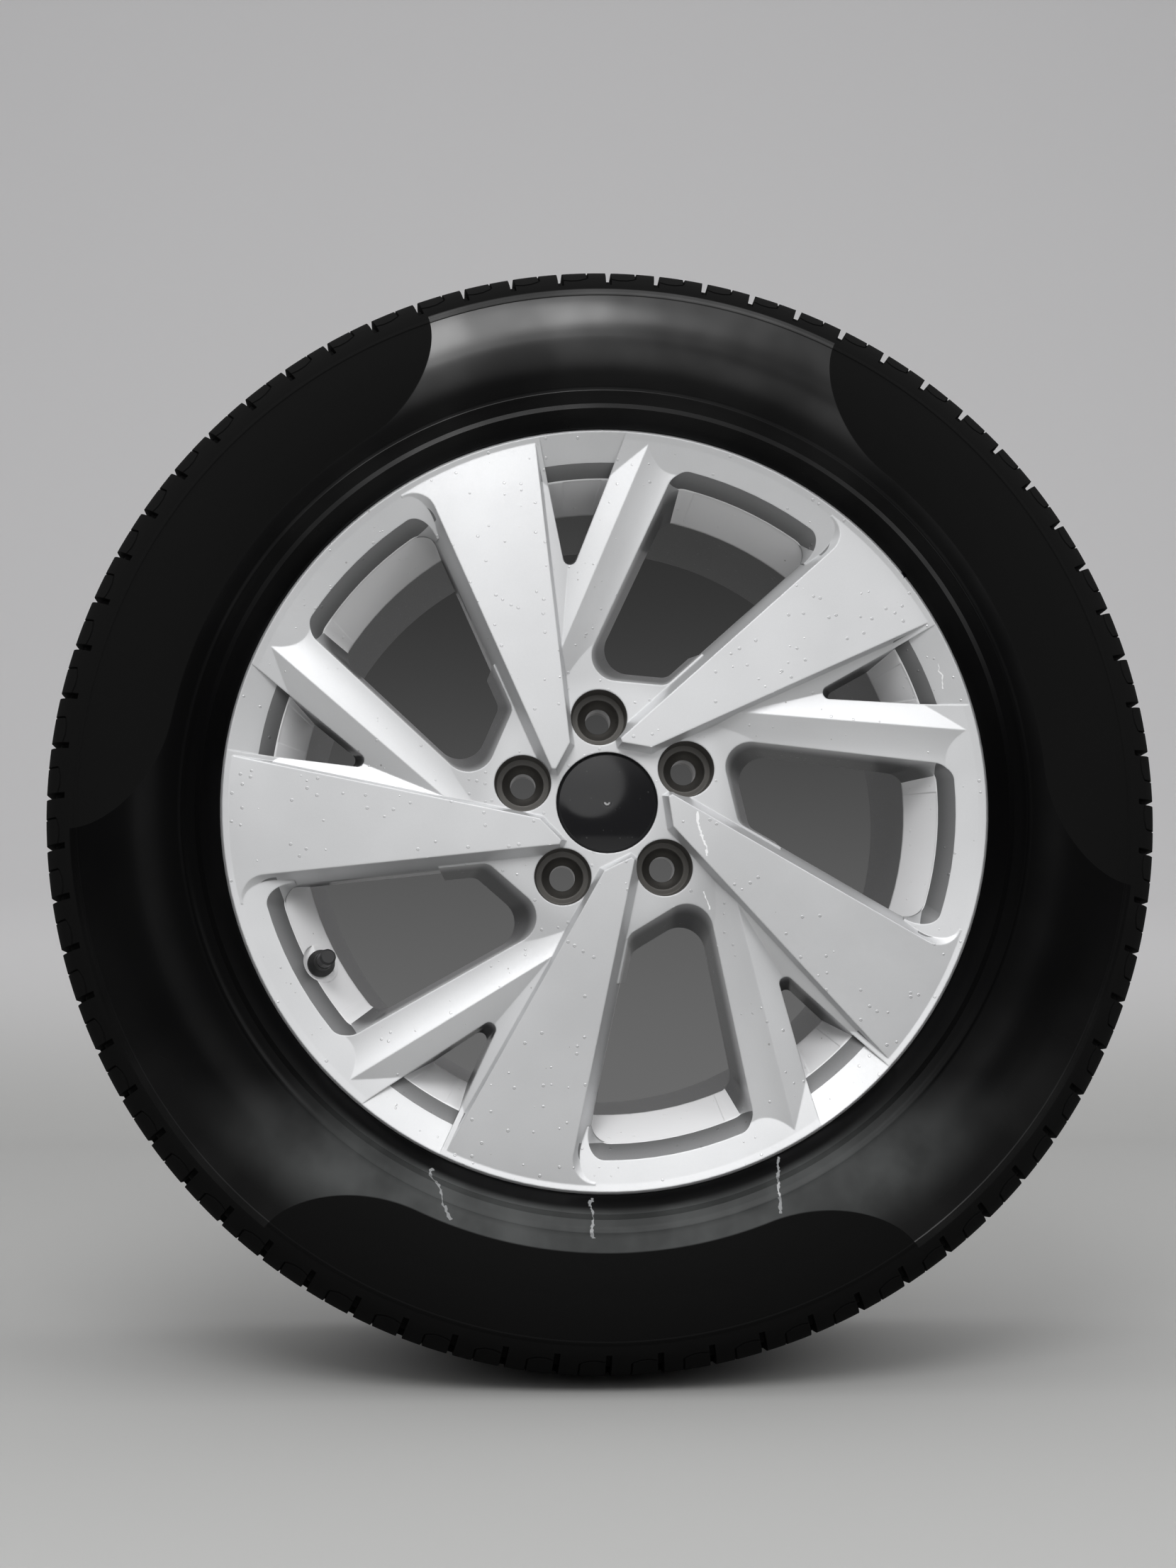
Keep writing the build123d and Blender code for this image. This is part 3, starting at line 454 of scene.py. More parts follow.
def depth_masks(tree):
    """Dust with painted shade in the barrel, painted light on the band that slopes down to it, and painted
    shade on the windows' steep walls."""
    _, radius, along = from_axis(tree)
    # Brake dust with painted shade in the barrel behind the spokes, fading out at a ragged line towards the
    # back.
    behind = span(tree, along, SPOKE_BACK, SPOKE_BACK + SPOKE_BACK_FADE)
    wander = product(tree, minus(tree, noise(tree, 60.0, 3.0), 0.5), DUST_AND_SHADE_WANDER)
    before = span(tree, plus(tree, along, wander), DUST_AND_SHADE_END + DUST_AND_SHADE_FADE, DUST_AND_SHADE_END - DUST_AND_SHADE_FADE)
    dust = product(tree, behind, before)
    # Painted light on the band that slopes from the windows' bevels down to the barrel.
    band_r = span(tree, along, BEVEL_END, SPOKE_BACK, THROAT_R, BARREL_R, "LINEAR")
    lit_band = product(tree, above(tree, radius, minus(tree, band_r, BAND_MARGIN)),
                   above(tree, along, BAND_START), rest(tree, behind))
    # Painted shade on the windows' bevels and on their steep walls, deepening with depth.
    facing = parts_of(tree, add(tree, "ShaderNodeNewGeometry").outputs["True Normal"])["Y"]
    bevel = product(tree, span(tree, along, BEVEL_TOP, BEVEL_END, 0.8, 1.0),
                    above(tree, along, BEVEL_TOP), above(tree, facing, STEEP_FACING),
                    below(tree, radius, BEVEL_R), above(tree, radius, THROAT_R - BEVEL_MARGIN))
    wall = product(tree, span(tree, along, WALL_START, WALL_DARK, 0.0, 0.95),
                   span(tree, radius, WINDOWS_START_R, WINDOWS_FULL_R))
    recess_shade = product(tree, largest(tree, wall, bevel), rest(tree, lit_band), rest(tree, behind))
    return dust, lit_band, recess_shade


def silver_paint(finish):
    """Silver metallic paint with a fine flake, faint cloudiness, dirt specks, pale streaks and water drops.
    It has painted shade on the windows' walls, painted light on the band behind them and dust with
    painted shade in the barrel, and the bolt pockets are bare metal. The edges are softened in the shading."""
    material, tree, shader = new_material("Silver Paint", {"Coat Weight": 0.25, "Coat Roughness": 0.12})
    dust, lit_band, recess_shade = depth_masks(tree)
    specks = mask(tree, "Specks", Scale=230.0, Size=0.13, Share=0.05)
    drops = mask(tree, "Specks", Scale=210.0, Size=0.16, Share=0.45)
    pale_streak = streaks(tree, PALE_STREAKS)
    layers = (
        # Painted shade on the windows' walls and bevels.
        (recess_shade, colour(finish.paint, RECESS_SHADE)),
        # Painted light on the band behind them.
        (lit_band, colour(LIT_BAND_TONE)),
        # Brake dust with painted shade in the barrel.
        (dust, colour(finish.paint, DUSTY_AND_SHADED)),
        (mask(tree, "Bolt Pockets", First=FIRST_BOLT), colour(finish.bare)),
        (product(tree, specks, 0.45), colour(DIRT_TONE)),
        (streaks(tree, NICKS), colour(NICK_TONE)),
        (product(tree, pale_streak, 0.85), colour(PALE_STREAK_TONE)),
    )
    tone = mix(tree, cloud(tree, 9.0, 3.0), colour(finish.paint, DEEP), colour(finish.paint, LIGHT))
    for share, layer in layers:
        tone = mix(tree, share, tone, layer)
    feed(tree, shader.inputs["Base Color"], tone)
    # Less metallic on the pale streaks and on the band of painted light.
    matt = largest(tree, product(tree, pale_streak, 0.65), product(tree, lit_band, 0.6))
    feed(tree, shader.inputs["Metallic"], minus(tree, PAINT_METALLIC, matt))
    dulled = plus(tree, grain(tree, 1400.0, 1.0, 0.47, 0.56), product(tree, dust, 0.2))
    feed(tree, shader.inputs["Roughness"], minus(tree, dulled, product(tree, drops, 0.15)))
    edges = add(tree, "ShaderNodeBevel", samples=4)
    edges.inputs["Radius"].default_value = finish.edge_round
    bump(tree, shader, drops, 0.6, DROP_HEIGHT, edges.outputs[0])
    return material


# ---------------------------------------------------------------- other materials

PANEL_MIDDLES = (radians(27.3), radians(147.1), radians(268.0))
PANEL_HALF = radians(36.5)
# Heights and radii between which the water film with its painted reflection and the shine come and go
FILM_AND_REFLECTION_HEIGHTS = (-0.15, -0.215)
FILM_AND_REFLECTION_INNER_RADII = (0.2255, 0.2305)
FILM_AND_REFLECTION_OUTER_RADII = (0.25, 0.29)
SHINE_RADII = (0.24, 0.265)
SHINE_TOP_HEIGHTS = (0.02, 0.2)
SHINE_FOOT_HEIGHTS = (-0.1, -0.2)
# Grey of the film of dried water below the rim, which also paints in a reflection of the floor.
FILM_AND_REFLECTION_TONE = (0.075, 0.078, 0.078)
# Pale tone of the water runs: painted glints.
WATER_GLINT_TONE = (0.40, 0.41, 0.42)
RUNS = ((-97.8, -204.5, -67.5, 29, 1.1, 6), (-9.6, -221.5, -88, 20, 1.2, 5),
        (94.1, -199.5, -91, 29, 1.0, 5))
RUBBER_RELIEF = 0.4 * MM
CAP_BLACK = (0.008, 0.008, 0.009)
CAP_DUST = (0.12, 0.12, 0.12)
GRAIN_SPREAD = 0.06


def tyre_rubber(form):
    """Black rubber with a shine that is strongest at the top, three long matt panels on the sidewall, and
    a film of water with a painted floor reflection and a few runs of water with painted glints below the
    rim."""
    material, tree, shader = new_material(
        "Tyre Rubber", {"Specular IOR Level": 0.02, "Coat Roughness": 0.22})
    _, radius, _ = from_axis(tree)
    height = own_place(tree)[2]
    matt = largest(tree, *(mask(tree, "Sidewall Panel", Middle=middle, Half=PANEL_HALF)
                           for middle in PANEL_MIDDLES))
    wet_and_glint = streaks(tree, RUNS)
    dry = largest(tree, matt, span(tree, radius, *FILM_AND_REFLECTION_OUTER_RADII))
    # Film of dried water low on the sidewall, lightened by a painted reflection of the floor.
    film_and_reflection = product(tree, span(tree, height, *FILM_AND_REFLECTION_HEIGHTS), span(tree, radius, *FILM_AND_REFLECTION_INNER_RADII),
                   rest(tree, dry), cloud(tree, 30.0, 3.0, 0.55, 1.0))
    tone = mix(tree, matt, colour(form.rubber), colour(form.panel))
    tone = mix(tree, film_and_reflection, tone, colour(FILM_AND_REFLECTION_TONE))
    # Runs of water, lightened by painted glints.
    tone = mix(tree, product(tree, wet_and_glint, 0.5), tone, colour(WATER_GLINT_TONE))
    feed(tree, shader.inputs["Base Color"], tone)
    feed(tree, shader.inputs["Roughness"], plus(tree, 0.55, product(tree, matt, 0.2)))
    patches = product(tree, cloud(tree, 14.0, 3.0, 0.3, 0.62), span(tree, radius, *SHINE_RADII, 0.3, 1.0))
    wiped = largest(tree, span(tree, height, *SHINE_TOP_HEIGHTS, 0.3, 1.8),
                    span(tree, height, *SHINE_FOOT_HEIGHTS, 0.3, 1.0))
    gloss = calc(tree, "MULTIPLY", patches, wiped, clamp=True)
    shine = product(tree, gloss, rest(tree, largest(tree, matt, product(tree, film_and_reflection, 0.8))))
    feed(tree, shader.inputs["Coat Weight"], largest(tree, shine, wet_and_glint))
    relief = minus(tree, product(tree, noise(tree, 700.0), 0.2), matt)
    bump(tree, shader, plus(tree, relief, wet_and_glint), 0.5, RUBBER_RELIEF)
    return material


def gloss_black():
    """Glossy black plastic of the centre cap with a little dust."""
    material, tree, shader = new_material("Gloss Black", {})
    dust = product(tree, mask(tree, "Specks", Scale=420.0, Size=0.2, Share=0.12), 0.25)
    feed(tree, shader.inputs["Base Color"], mix(tree, dust, colour(CAP_BLACK), colour(CAP_DUST)))
    feed(tree, shader.inputs["Roughness"], cloud(tree, 30.0, 2.0, 0.07, 0.12))
    return material


def plain_finish(name, tone, roughness, metallic=0.0):
    """A plain finish with fine grain in its gloss."""
    material, tree, shader = new_material(name, {"Metallic": metallic, "Base Color": colour(tone)})
    gloss = grain(tree, 900.0, 2.0, roughness - GRAIN_SPREAD, roughness + GRAIN_SPREAD)
    feed(tree, shader.inputs["Roughness"], gloss)
    return material


def wire_steel(name):
    """Bright steel wire."""
    return plain_finish(name, (0.42, 0.42, 0.43), 0.35, metallic=1.0)


# ---------------------------------------------------------------- pieces and meshes

SHARP_EDGE = radians(32)


def dress(node, material):
    """Gives a CAD node its material."""
    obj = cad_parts[node]
    obj.data.materials.clear()
    obj.data.materials.append(material)


def new_piece(name, mesh, material, body):
    """Links a finished mesh into the scene as a piece that rides a body."""
    obj = bpy.data.objects.new(name, mesh)
    bpy.context.scene.collection.objects.link(obj)
    mesh.materials.append(material)
    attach(obj, body)
    return obj


def new_mesh(name, points, faces):
    """A mesh from an array of points and a list of faces."""
    mesh = bpy.data.meshes.new(name)
    mesh.from_pydata(points.reshape(-1, 3).tolist(), [], faces)
    return mesh


def finished(mesh):
    """Points the faces outwards, shades them smooth and keeps the sharp edges."""
    shape = bmesh.new()
    shape.from_mesh(mesh)
    bmesh.ops.recalc_face_normals(shape, faces=shape.faces)
    shape.to_mesh(mesh)
    shape.free()
    mesh.shade_smooth()
    mesh.set_sharp_from_angle(angle=SHARP_EDGE)
    return mesh


def round_the_axis(radius, across, angle):
    """Points at a radius, a distance along the axis and an angle round it."""
    parts = np.broadcast_arrays(radius * np.cos(angle), across, radius * np.sin(angle))
    return np.stack(parts, axis=-1)


def grid_faces(rows, columns, first):
    """Four-sided faces of a grid that closes on itself along its columns."""
    row, column = np.meshgrid(np.arange(rows - 1), np.arange(columns), indexing="ij")
    after = (column + 1) % columns
    corners = [row * columns + column, (row + 1) * columns + column,
               (row + 1) * columns + after, row * columns + after]
    return (np.stack(corners, axis=-1).reshape(-1, 4) + first).tolist()


# ---------------------------------------------------------------- casting

class WHEEL_OT_casting(Operator):
    """Paints the cast wheel"""

    bl_idname = "wheel.paint_casting"
    bl_label = "Paint Casting"

    def execute(self, context):
        dress("alloy_wheel", silver_paint(context.scene.casting_finish))
        return {"FINISHED"}


# ---------------------------------------------------------------- tyre

# Tread: rounds of its section, and distances along the section from the middle
CROWN_ROUND = 430 * MM
HALF_TREAD = 78 * MM
SHOULDER_ROUND = 30 * MM
SHOULDER_END = radians(70)
EDGE_TURN = asin(HALF_TREAD / CROWN_ROUND)
TREAD_END = HALF_TREAD + SHOULDER_ROUND * (SHOULDER_END - EDGE_TURN)
GROOVES = (18 * MM, 48 * MM)
GROOVE_HALF = 4.5 * MM
WALL_LEAN = 0.4 * MM
SLOT_START = 57 * MM
SLOT_ROWS = (64 * MM, 71 * MM, 78 * MM, 82 * MM, 86 * MM, 90 * MM, 94 * MM)
SLOT_STOP = 104 * MM
SLOT_STOP_DEPTH = 0.6
SLOT_RUN_OUT = 1.5 * MM
SIPE_TOP = 100 * MM
SIPE_HALF = 0.7 * MM
SIPE_BOW = 3.5 * MM
BOW_REACH = 6 * MM
BOW_MIDDLE = 0.6
BOW_POWER = 0.6
# Tread: shares of a pitch
SLOT_FLOOR_HALF = 0.046
SLOT_HALF = 0.060
SIPE_PLACE = 0.44
SIPE_WIDE = 0.022
COLUMNS = np.array((
    SLOT_FLOOR_HALF, SLOT_HALF, 0.15, 0.26, 0.36, SIPE_PLACE - SIPE_WIDE, SIPE_PLACE,
    SIPE_PLACE + SIPE_WIDE, 0.62, 0.79, 1 - SLOT_HALF, 1 - SLOT_FLOOR_HALF))
FINE_PER_COARSE = 3
# Sidewall
WIDEST_R = 268 * MM
WALL_GAP = 1 * MM
WALL_STEPS = 22
WALL_RIDGES = ((296.5 * MM, 0.45 * MM), (262 * MM, 0.0), (238.5 * MM, 0.35 * MM))
RIDGE_HALF = 1.1 * MM
RIDGE_TOP_HALF = 0.5 * MM
BEAD_LINE_R = 229.3 * MM
BEAD_LINE_WIDTH = 3 * MM
BEAD_LINE_HEIGHT = 0.8 * MM
BEAD_LINE_Y = RIM_HIGH[1] + 9.6 * MM
# Bead and liner
CURL_R = 9.6 * MM
CURL_CENTRE_R = FLANGE_R - 9.5 * MM
CURL_CENTRE_Y = RIM_HIGH[1] - 1.3 * MM
SEAT_R = 202.9 * MM
HEEL_R = 3 * MM
HEEL_Y = CURL_CENTRE_Y - CURL_R
BEAD_WIDTH = 19.5 * MM
INNER_Y = TYRE_HIGH[1] - 9 * MM
LINER_R = TYRE_R - 14.5 * MM
LINER_END = (LINER_R - 5.7 * MM, 62 * MM)
LINER_BULGE = 9 * MM
ARC_POINTS = 5
ROOF_POINTS = 7


def tread_surface(along):
    """Radius, distance from the middle and outward normal of the smooth tread at a distance along its
    section from the middle: the crown's large circle, then the shoulder's small one."""
    crown_turn = np.minimum(along, HALF_TREAD) / HALF_TREAD * EDGE_TURN
    turn = crown_turn + np.maximum(along - HALF_TREAD, 0) / SHOULDER_ROUND
    crown_r = TYRE_R - CROWN_ROUND + CROWN_ROUND * np.cos(crown_turn)
    crown_y = CROWN_ROUND * np.sin(crown_turn)
    radius = crown_r + SHOULDER_ROUND * (np.cos(turn) - np.cos(crown_turn))
    across = crown_y + SHOULDER_ROUND * (np.sin(turn) - np.sin(crown_turn))
    return radius, across, np.cos(turn), np.sin(turn)


def circle_through(first, second, third):
    """Centre and radius of the circle through three points of a section."""
    a, b, c = (np.array(p) for p in (first, second, third))
    centre = np.linalg.solve(2 * np.array([b - a, c - a]), [b @ b - a @ a, c @ c - a @ a])
    return centre, np.linalg.norm(a - centre)


def arc_through(first, second, third, count):
    """Points on the arc from the first to the third point by way of the second."""
    centre, size = circle_through(first, second, third)
    turns = np.unwrap([np.arctan2(*(np.array(p) - centre)[::-1]) for p in (first, second, third)])
    sweep = np.linspace(turns[0], turns[2], count)
    return centre + size * np.column_stack([np.cos(sweep), np.sin(sweep)])


def tread_rows():
    """Distances along the section, with the share of the groove's and the slot's depth at each, and
    the kind of sipe: 1 for the cuts along the section, 2 for the arch that ends them."""
    wall_in, wall_out = GROOVE_HALF - WALL_LEAN, GROOVE_HALF + WALL_LEAN
    rows = [(0.0, 0, 0, 0)]
    for place in GROOVES:
        for offset, share in ((-wall_out, 0), (-GROOVE_HALF, 0), (-wall_in, 1),
                              (wall_in, 1), (GROOVE_HALF, 0), (wall_out, 0)):
            rows.append((place + offset, share, 0, 0))
    rows += [(SLOT_START, 0, 0, 0), (SLOT_START + WALL_LEAN, 0, 1, 1)]
    rows += [(place, 0, 1, 1) for place in SLOT_ROWS]
    rows += [(SIPE_TOP - SIPE_HALF, 0, 1, 1), (SIPE_TOP, 0, 1, 2), (SIPE_TOP + SIPE_HALF, 0, 1, 0)]
    rows += [(SLOT_STOP, 0, SLOT_STOP_DEPTH, 0), (SLOT_STOP + SLOT_RUN_OUT, 0, 0, 0), (TREAD_END, 0, 0, 0)]
    return np.array(rows)


def outer_wall():
    """Radius and distance from the middle down the sidewall: a circle from the tread's end by way of
    the widest place to the bead line, with low ridges round it."""
    start_r, start_y, _, _ = tread_surface(np.array(TREAD_END))
    end = (BEAD_LINE_R + BEAD_LINE_WIDTH, BEAD_LINE_Y - BEAD_LINE_HEIGHT)
    centre, size = circle_through((start_r, start_y), (WIDEST_R, TYRE_HIGH[1]), end)
    steps = np.array((-RIDGE_HALF, -RIDGE_TOP_HALF, RIDGE_TOP_HALF, RIDGE_HALF))
    even = np.linspace(start_r - WALL_GAP, end[0], WALL_STEPS)
    radii = np.unique(np.concatenate([even] + [place + steps for place, _ in WALL_RIDGES]))[::-1]
    across = centre[1] + np.sqrt(size ** 2 - (radii - centre[0]) ** 2)
    for place, height in WALL_RIDGES:
        share = (RIDGE_HALF - np.abs(radii - place)) / (RIDGE_HALF - RIDGE_TOP_HALF)
        across = across + height * np.clip(share, 0, 1)
    return np.column_stack([radii, np.minimum(across, TYRE_HIGH[1])])


def sidewall_rows():
    """Radius and distance from the middle down the sidewall, over the bead and along the liner."""
    lip = [(BEAD_LINE_R, BEAD_LINE_Y),
           (BEAD_LINE_R - BEAD_LINE_HEIGHT, BEAD_LINE_Y - BEAD_LINE_HEIGHT),
           (CURL_CENTRE_R + CURL_R + BEAD_LINE_HEIGHT, RIM_HIGH[1] + BEAD_LINE_HEIGHT)]
    turns = np.linspace(0, pi / 2, ARC_POINTS)
    curl = np.column_stack([CURL_CENTRE_R + CURL_R * np.cos(turns), CURL_CENTRE_Y - CURL_R * np.sin(turns)])
    heel = [(SEAT_R + HEEL_R, HEEL_Y), (SEAT_R, HEEL_Y - HEEL_R), (SEAT_R, HEEL_Y - BEAD_WIDTH)]
    widest = (WIDEST_R, INNER_Y)
    below_widest = ((SEAT_R + WIDEST_R) / 2, INNER_Y - LINER_BULGE)
    above_widest = (LINER_END[0] - LINER_BULGE, (INNER_Y + LINER_END[1]) / 2 + LINER_BULGE)
    low = arc_through(heel[-1], below_widest, widest, ARC_POINTS)
    high = arc_through(widest, above_widest, LINER_END, ARC_POINTS)
    roof = arc_through(LINER_END, (LINER_R, 0), (LINER_END[0], -LINER_END[1]), ROOF_POINTS)
    half_roof = roof[1:ROOF_POINTS // 2 + 1]
    return np.concatenate([outer_wall(), lip, curl, heel, low[1:], high[1:], half_roof]).T


def tread_points(form, angle, shares):
    """Grid of the tread's points, with a row for each distance along the section from one edge to the
    other. Each point sinks along its normal by the deepest cut there."""
    rows = tread_rows()
    both = np.concatenate([rows[:0:-1], rows])
    side = np.concatenate([np.ones(len(rows) - 1), -np.ones(len(rows))])[:, None]
    along, groove, slot, sipe = (both[:, k][:, None] for k in range(4))
    twist = np.clip(0.5 + along * side / (2 * GROOVES[0]), 0, 1)
    in_slot = (shares <= SLOT_FLOOR_HALF) | (shares >= 1 - SLOT_FLOOR_HALF)
    in_arch = (shares >= SIPE_PLACE) & (shares < 1 - SLOT_FLOOR_HALF)
    wave = np.maximum(np.sin(pi * (shares - SIPE_PLACE) / (1 - SIPE_PLACE)), 0)
    bow = np.where(in_arch, wave ** BOW_POWER, 0)
    near = np.clip(1 - np.abs(along - SIPE_TOP) / BOW_REACH, 0, 1)
    place = along + near * (bow - BOW_MIDDLE) * SIPE_BOW
    in_sipe = ((sipe >= 1) & np.isclose(shares, SIPE_PLACE)) | ((sipe == 2) & in_arch)
    cut = np.maximum(groove * form.groove_depth, slot * in_slot * form.slot_depth)
    cut = np.maximum(cut, in_sipe * form.sipe_depth)
    radius, across, out, over = tread_surface(place)
    turned = angle + twist * pi / form.pitches
    return round_the_axis(radius - cut * out, side * (across - cut * over), turned)


def wall_points(form, angle):
    """Grid of the points down one sidewall, along the liner and up the other, half a pitch on."""
    radius, across = sidewall_rows()
    radius = np.concatenate([radius, radius[-2::-1]])[:, None]
    across = np.concatenate([-across, across[-2::-1]])[:, None]
    return round_the_axis(radius, across, angle + np.where(across > 0, pi / form.pitches, 0))


def joining_faces(fine_first, coarse_first, columns, turned):
    """Faces that join a row of fine columns to a row with every third one."""
    column = np.arange(0, columns, FINE_PER_COARSE)
    fine = [(column + k) % columns + fine_first for k in range(FINE_PER_COARSE + 1)]
    number = np.arange(len(column))
    coarse = [(number + 1) % len(column) + coarse_first, number + coarse_first]
    faces = np.stack(fine + coarse, axis=-1)
    return (faces if turned else faces[:, ::-1]).tolist()


def tyre_mesh(form):
    """The tyre as one closed skin: its section carried round the axis. Over the tread the columns
    crowd at the edges of the slots and sipes. Down the sidewalls and inside, every third column goes
    on, and a row of wider faces joins the two."""
    shares = np.tile(COLUMNS, form.pitches)
    angle = (np.repeat(np.arange(form.pitches), len(COLUMNS)) + shares) * tau / form.pitches
    fine = tread_points(form, angle, shares)
    coarse = wall_points(form, angle[::FINE_PER_COARSE])
    (rows, columns), (wall_rows, wall_columns) = fine.shape[:2], coarse.shape[:2]
    first = rows * columns
    faces = grid_faces(rows, columns, 0) + grid_faces(wall_rows, wall_columns, first)
    faces += joining_faces(first - columns, first, columns, False)
    faces += joining_faces(0, first + (wall_rows - 1) * wall_columns, columns, True)
    points = np.concatenate([fine.reshape(-1, 3), coarse.reshape(-1, 3)])
    return finished(new_mesh("moulded_tyre", points, faces))


class WHEEL_OT_tyre(Operator):
    """Moulds the tyre with its grooves, slots and sipes and gives it its rubber"""

    bl_idname = "wheel.mould_tyre"
    bl_label = "Mould Tyre"

    def execute(self, context):
        form = context.scene.tyre_form
        obj = new_piece("moulded_tyre", tyre_mesh(form), tyre_rubber(form), "wheel")
        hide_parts("tyre")
        return {"FINISHED"}


# ---------------------------------------------------------------- small parts

VALVE_FOOT = np.array((-0.164176, -0.0635, -0.092886))
VALVE_AXIS = np.array((0.297679, -0.939693, 0.168419))
COIL_FLOOR = 6 * MM
COIL_LENGTH = 3.6 * MM
COIL_R = 1.7 * MM
COIL_WIRE_R = 0.2 * MM
COIL_TURNS = 3
COIL_STEPS = 72
COIL_SIDES = 8


def coil_mesh():
    """The valve core's spring: a circle of wire carried along a helix, which turns about the valve's
    axis while it climbs evenly from the floor of the bore to the pin's foot."""
    aside = np.cross(VALVE_AXIS, (0, 0, 1))
    aside /= np.linalg.norm(aside)
    valve_axes = np.stack([aside, np.cross(VALVE_AXIS, aside), VALVE_AXIS])
    turn = np.linspace(0, tau * COIL_TURNS, COIL_STEPS + 1)
    level = np.zeros_like(turn)
    climb = (COIL_LENGTH - 2 * COIL_WIRE_R) / (tau * COIL_TURNS)
    slope = np.arctan2(climb, COIL_R)
    out = np.column_stack([np.cos(turn), np.sin(turn), level])
    over = np.column_stack([np.sin(turn) * np.sin(slope), -np.cos(turn) * np.sin(slope),
                            level + np.cos(slope)])
    line = COIL_R * out
    line[:, 2] = COIL_FLOOR + COIL_WIRE_R + climb * turn
    around = (np.arange(COIL_SIDES) * tau / COIL_SIDES)[None, :, None]
    ring = np.cos(around) * out[:, None] + np.sin(around) * over[:, None]
    points = (line[:, None] + COIL_WIRE_R * ring).reshape(-1, 3) @ valve_axes + VALVE_FOOT
    last = COIL_STEPS * COIL_SIDES
    ends = [list(range(COIL_SIDES)), list(range(last, last + COIL_SIDES))]
    return finished(new_mesh("core_coil", points, grid_faces(COIL_STEPS + 1, COIL_SIDES, 0) + ends))


class WHEEL_OT_core_spring(Operator):
    """Winds the valve core's spring"""

    bl_idname = "wheel.wind_core_spring"
    bl_label = "Wind Core Spring"

    def execute(self, context):
        steel = wire_steel("Core Spring Steel")
        obj = new_piece("core_coil", coil_mesh(), steel, "wheel")
        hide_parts("valve_core_spring")
        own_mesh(obj)
        return {"FINISHED"}


class WHEEL_OT_small_parts(Operator):
    """Paints the centre cap, its ring and the valve"""

    bl_idname = "wheel.paint_small_parts"
    bl_label = "Paint Small Parts"

    def execute(self, context):
        dress("centre_cap", gloss_black())
        steel = wire_steel("Spring Steel")
        rubber = plain_finish("Valve Rubber", (0.012, 0.012, 0.012), 0.55)
        brass = plain_finish("Valve Brass", (0.62, 0.45, 0.20), 0.32, metallic=1.0)
        plastic = plain_finish("Cap Plastic", (0.014, 0.014, 0.015), 0.42)
        dress("cap_spring_ring", steel)
        for node in ("valve_stem_rubber", "valve_core_seal", "valve_cap_seal"):
            dress(node, rubber)
        for node in ("valve_stem_insert", "valve_core_body", "valve_core_pin"):
            dress(node, brass)
        dress("valve_cap", plastic)
        return {"FINISHED"}


# ---------------------------------------------------------------- studio

SWEEP_REACH = 4.0
SWEEP_BEND = 0.35
BEND_POINTS = 17
SHADE_SIDES = 96
SHADE_R = FLANGE_R - 12 * MM
SHADE_Y = RIM_HIGH[1] + 0.5 * MM
SHADE_TOP, SHADE_FOOT = 0.4, 1.9
SKY_HEIGHTS = (0.17, 0.64)
PALE_SKY = 0.45
WHEEL_CENTRE = Vector((0, 0, 0))
SENSOR_WIDTH = 36.0


def stage_object(name, data):
    """Links an object into the scene as part of the stage."""
    obj = bpy.data.objects.new(name, data)
    bpy.context.scene.collection.objects.link(obj)
    return obj


def sweep_mesh(studio):
    """Floor and backdrop in one sheet: a profile of floor, quarter round and wall, carried sideways."""
    turns = np.linspace(0, pi / 2, BEND_POINTS)
    bend_depth = studio.backdrop - SWEEP_BEND + SWEEP_BEND * np.sin(turns)
    bend_height = SWEEP_BEND - SWEEP_BEND * np.cos(turns)
    depth = np.concatenate([[-SWEEP_REACH], bend_depth, [studio.backdrop]])
    height = np.concatenate([[0], bend_height, [SWEEP_REACH]]) - TYRE_R
    across = np.array([-SWEEP_REACH, SWEEP_REACH])
    points = np.stack(np.broadcast_arrays(across, depth[:, None], height[:, None]), axis=-1)
    row = np.arange(len(depth) - 1)
    faces = np.stack([2 * row, 2 * row + 1, 2 * row + 3, 2 * row + 2], axis=-1)
    mesh = new_mesh("studio_sweep", points, faces.tolist())
    mesh.shade_smooth()
    return mesh


def sweep_material(studio):
    """Pale matt paint, going over from the floor's tone to the wall's in the bend between them."""
    material, tree, shader = new_material("Studio Sweep", {"Roughness": 0.85})
    share = span(tree, own_place(tree)[2], -TYRE_R, -TYRE_R + SWEEP_BEND)
    feed(tree, shader.inputs["Base Color"], mix(tree, share, colour(studio.floor), colour(studio.wall)))
    return material


def shade_disc():
    """A disc that closes the rear opening of the rim: one face through points evenly round a circle."""
    ring = round_the_axis(SHADE_R, SHADE_Y, np.arange(SHADE_SIDES) * tau / SHADE_SIDES)
    return new_mesh("shade_behind", ring, [list(range(SHADE_SIDES))])


def shade_material(tone):
    """Grey shade that only the camera sees, and only from the front; lighter towards the floor."""
    material, tree, shader = new_material("Shade Behind", {
        "Base Color": (0, 0, 0, 1), "Roughness": 1.0, "Specular IOR Level": 0.0,
        "Emission Strength": 1.0})
    low = span(tree, own_place(tree)[2], FLANGE_R, -FLANGE_R)
    grey = mix(tree, low, colour(tone, SHADE_TOP), colour(tone, SHADE_FOOT))
    feed(tree, shader.inputs["Emission Color"], grey)
    seen = add(tree, "ShaderNodeLightPath").outputs["Is Camera Ray"]
    front = rest(tree, add(tree, "ShaderNodeNewGeometry").outputs["Backfacing"])
    feed(tree, shader.inputs["Alpha"], product(tree, seen, front))
    return material


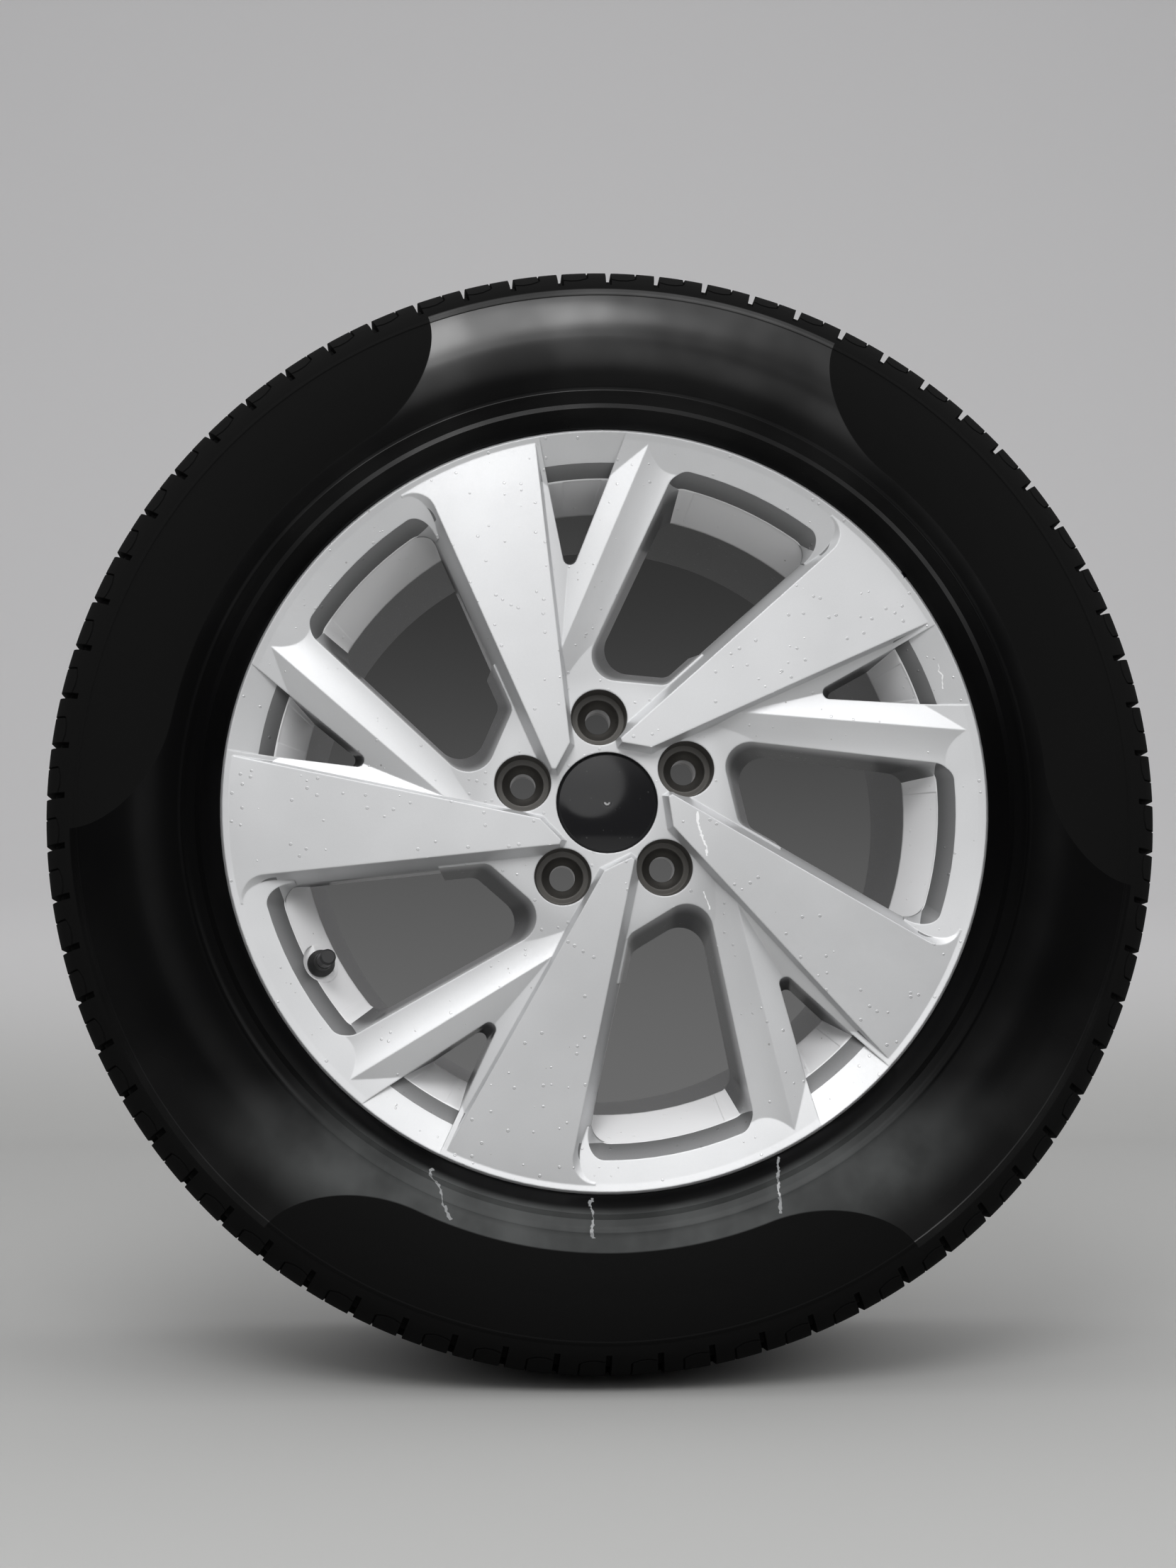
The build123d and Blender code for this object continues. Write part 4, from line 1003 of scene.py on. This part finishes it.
def studio_world(studio):
    """Light that grows from the horizon to straight above; the camera sees an even pale grey."""
    world = bpy.data.worlds.new("Studio World")
    world.use_nodes = True
    tree = world.node_tree
    light = span(tree, own_place(tree)[2], *SKY_HEIGHTS, studio.horizon, studio.sky)
    seen = add(tree, "ShaderNodeLightPath").outputs["Is Camera Ray"]
    strength = plus(tree, product(tree, light, rest(tree, seen)), product(tree, seen, PALE_SKY))
    background = tree.nodes["Background"]
    feed(tree, background.inputs["Strength"], strength)
    background.inputs["Color"].default_value = (1, 1, 1, 1)
    return world


def area_lamp(name, power, size, place):
    """A round lamp at a place, turned to face the wheel's centre."""
    lamp = bpy.data.lights.new(name, "AREA")
    lamp.energy = power
    lamp.shape = "DISK"
    lamp.size = size
    obj = stage_object(name, lamp)
    obj.location = place
    obj.rotation_euler = (WHEEL_CENTRE - Vector(place)).to_track_quat("-Z", "Y").to_euler()


def photo_camera(studio):
    """The camera at the photo's viewing angle."""
    camera = bpy.data.cameras.new("photo_camera")
    camera.lens = studio.lens
    camera.sensor_width = SENSOR_WIDTH
    obj = stage_object("photo_camera", camera)
    obj.location = studio.eye
    obj.rotation_euler = studio.aim
    return obj


class WHEEL_OT_studio(Operator):
    """Sets the floor, backdrop, lamps and camera"""

    bl_idname = "wheel.set_studio"
    bl_label = "Set Studio"

    def execute(self, context):
        scene = context.scene
        studio = scene.wheel_studio
        sweep = stage_object("studio_sweep", sweep_mesh(studio))
        sweep.data.materials.append(sweep_material(studio))
        shade = stage_object("shade_behind", shade_disc())
        shade.data.materials.append(shade_material(studio.shade))
        scene.world = studio_world(studio)
        area_lamp("key_lamp", studio.key, size=0.8, place=(-0.25, -1.35, 1.15))
        area_lamp("front_lamp", studio.front, size=1.0, place=(-0.1, -2.6, 0.55))
        area_lamp("fill_lamp", studio.fill, size=0.8, place=(1.3, -1.2, 1.0))
        scene.camera = photo_camera(studio)
        scene.view_settings.view_transform = "Standard"
        return {"FINISHED"}


class WHEEL_PT_panel(Panel):
    """Lists the steps that dress the wheel"""

    bl_label = "Road Wheel"
    bl_idname = "WHEEL_PT_panel"
    bl_space_type = "VIEW_3D"
    bl_region_type = "UI"
    bl_category = "Road Wheel"

    def draw(self, context):
        for operator in OPERATORS:
            self.layout.operator(operator.bl_idname)


GROUPS = {"casting_finish": CastingFinish, "tyre_form": TyreForm, "wheel_studio": Studio}
OPERATORS = (WHEEL_OT_casting, WHEEL_OT_tyre, WHEEL_OT_core_spring, WHEEL_OT_small_parts, WHEEL_OT_studio)


def register():
    for cls in (*GROUPS.values(), *OPERATORS, WHEEL_PT_panel):
        bpy.utils.register_class(cls)
    for name, cls in GROUPS.items():
        setattr(bpy.types.Scene, name, PointerProperty(type=cls))


def unregister():
    for name in GROUPS:
        delattr(bpy.types.Scene, name)
    for cls in (WHEEL_PT_panel, *reversed(OPERATORS), *GROUPS.values()):
        bpy.utils.unregister_class(cls)


def main():
    register()
    bpy.ops.wheel.paint_casting()
    bpy.ops.wheel.mould_tyre()
    bpy.ops.wheel.wind_core_spring()
    bpy.ops.wheel.paint_small_parts()
    bpy.ops.wheel.set_studio()


if __name__ == "__main__":
    main()
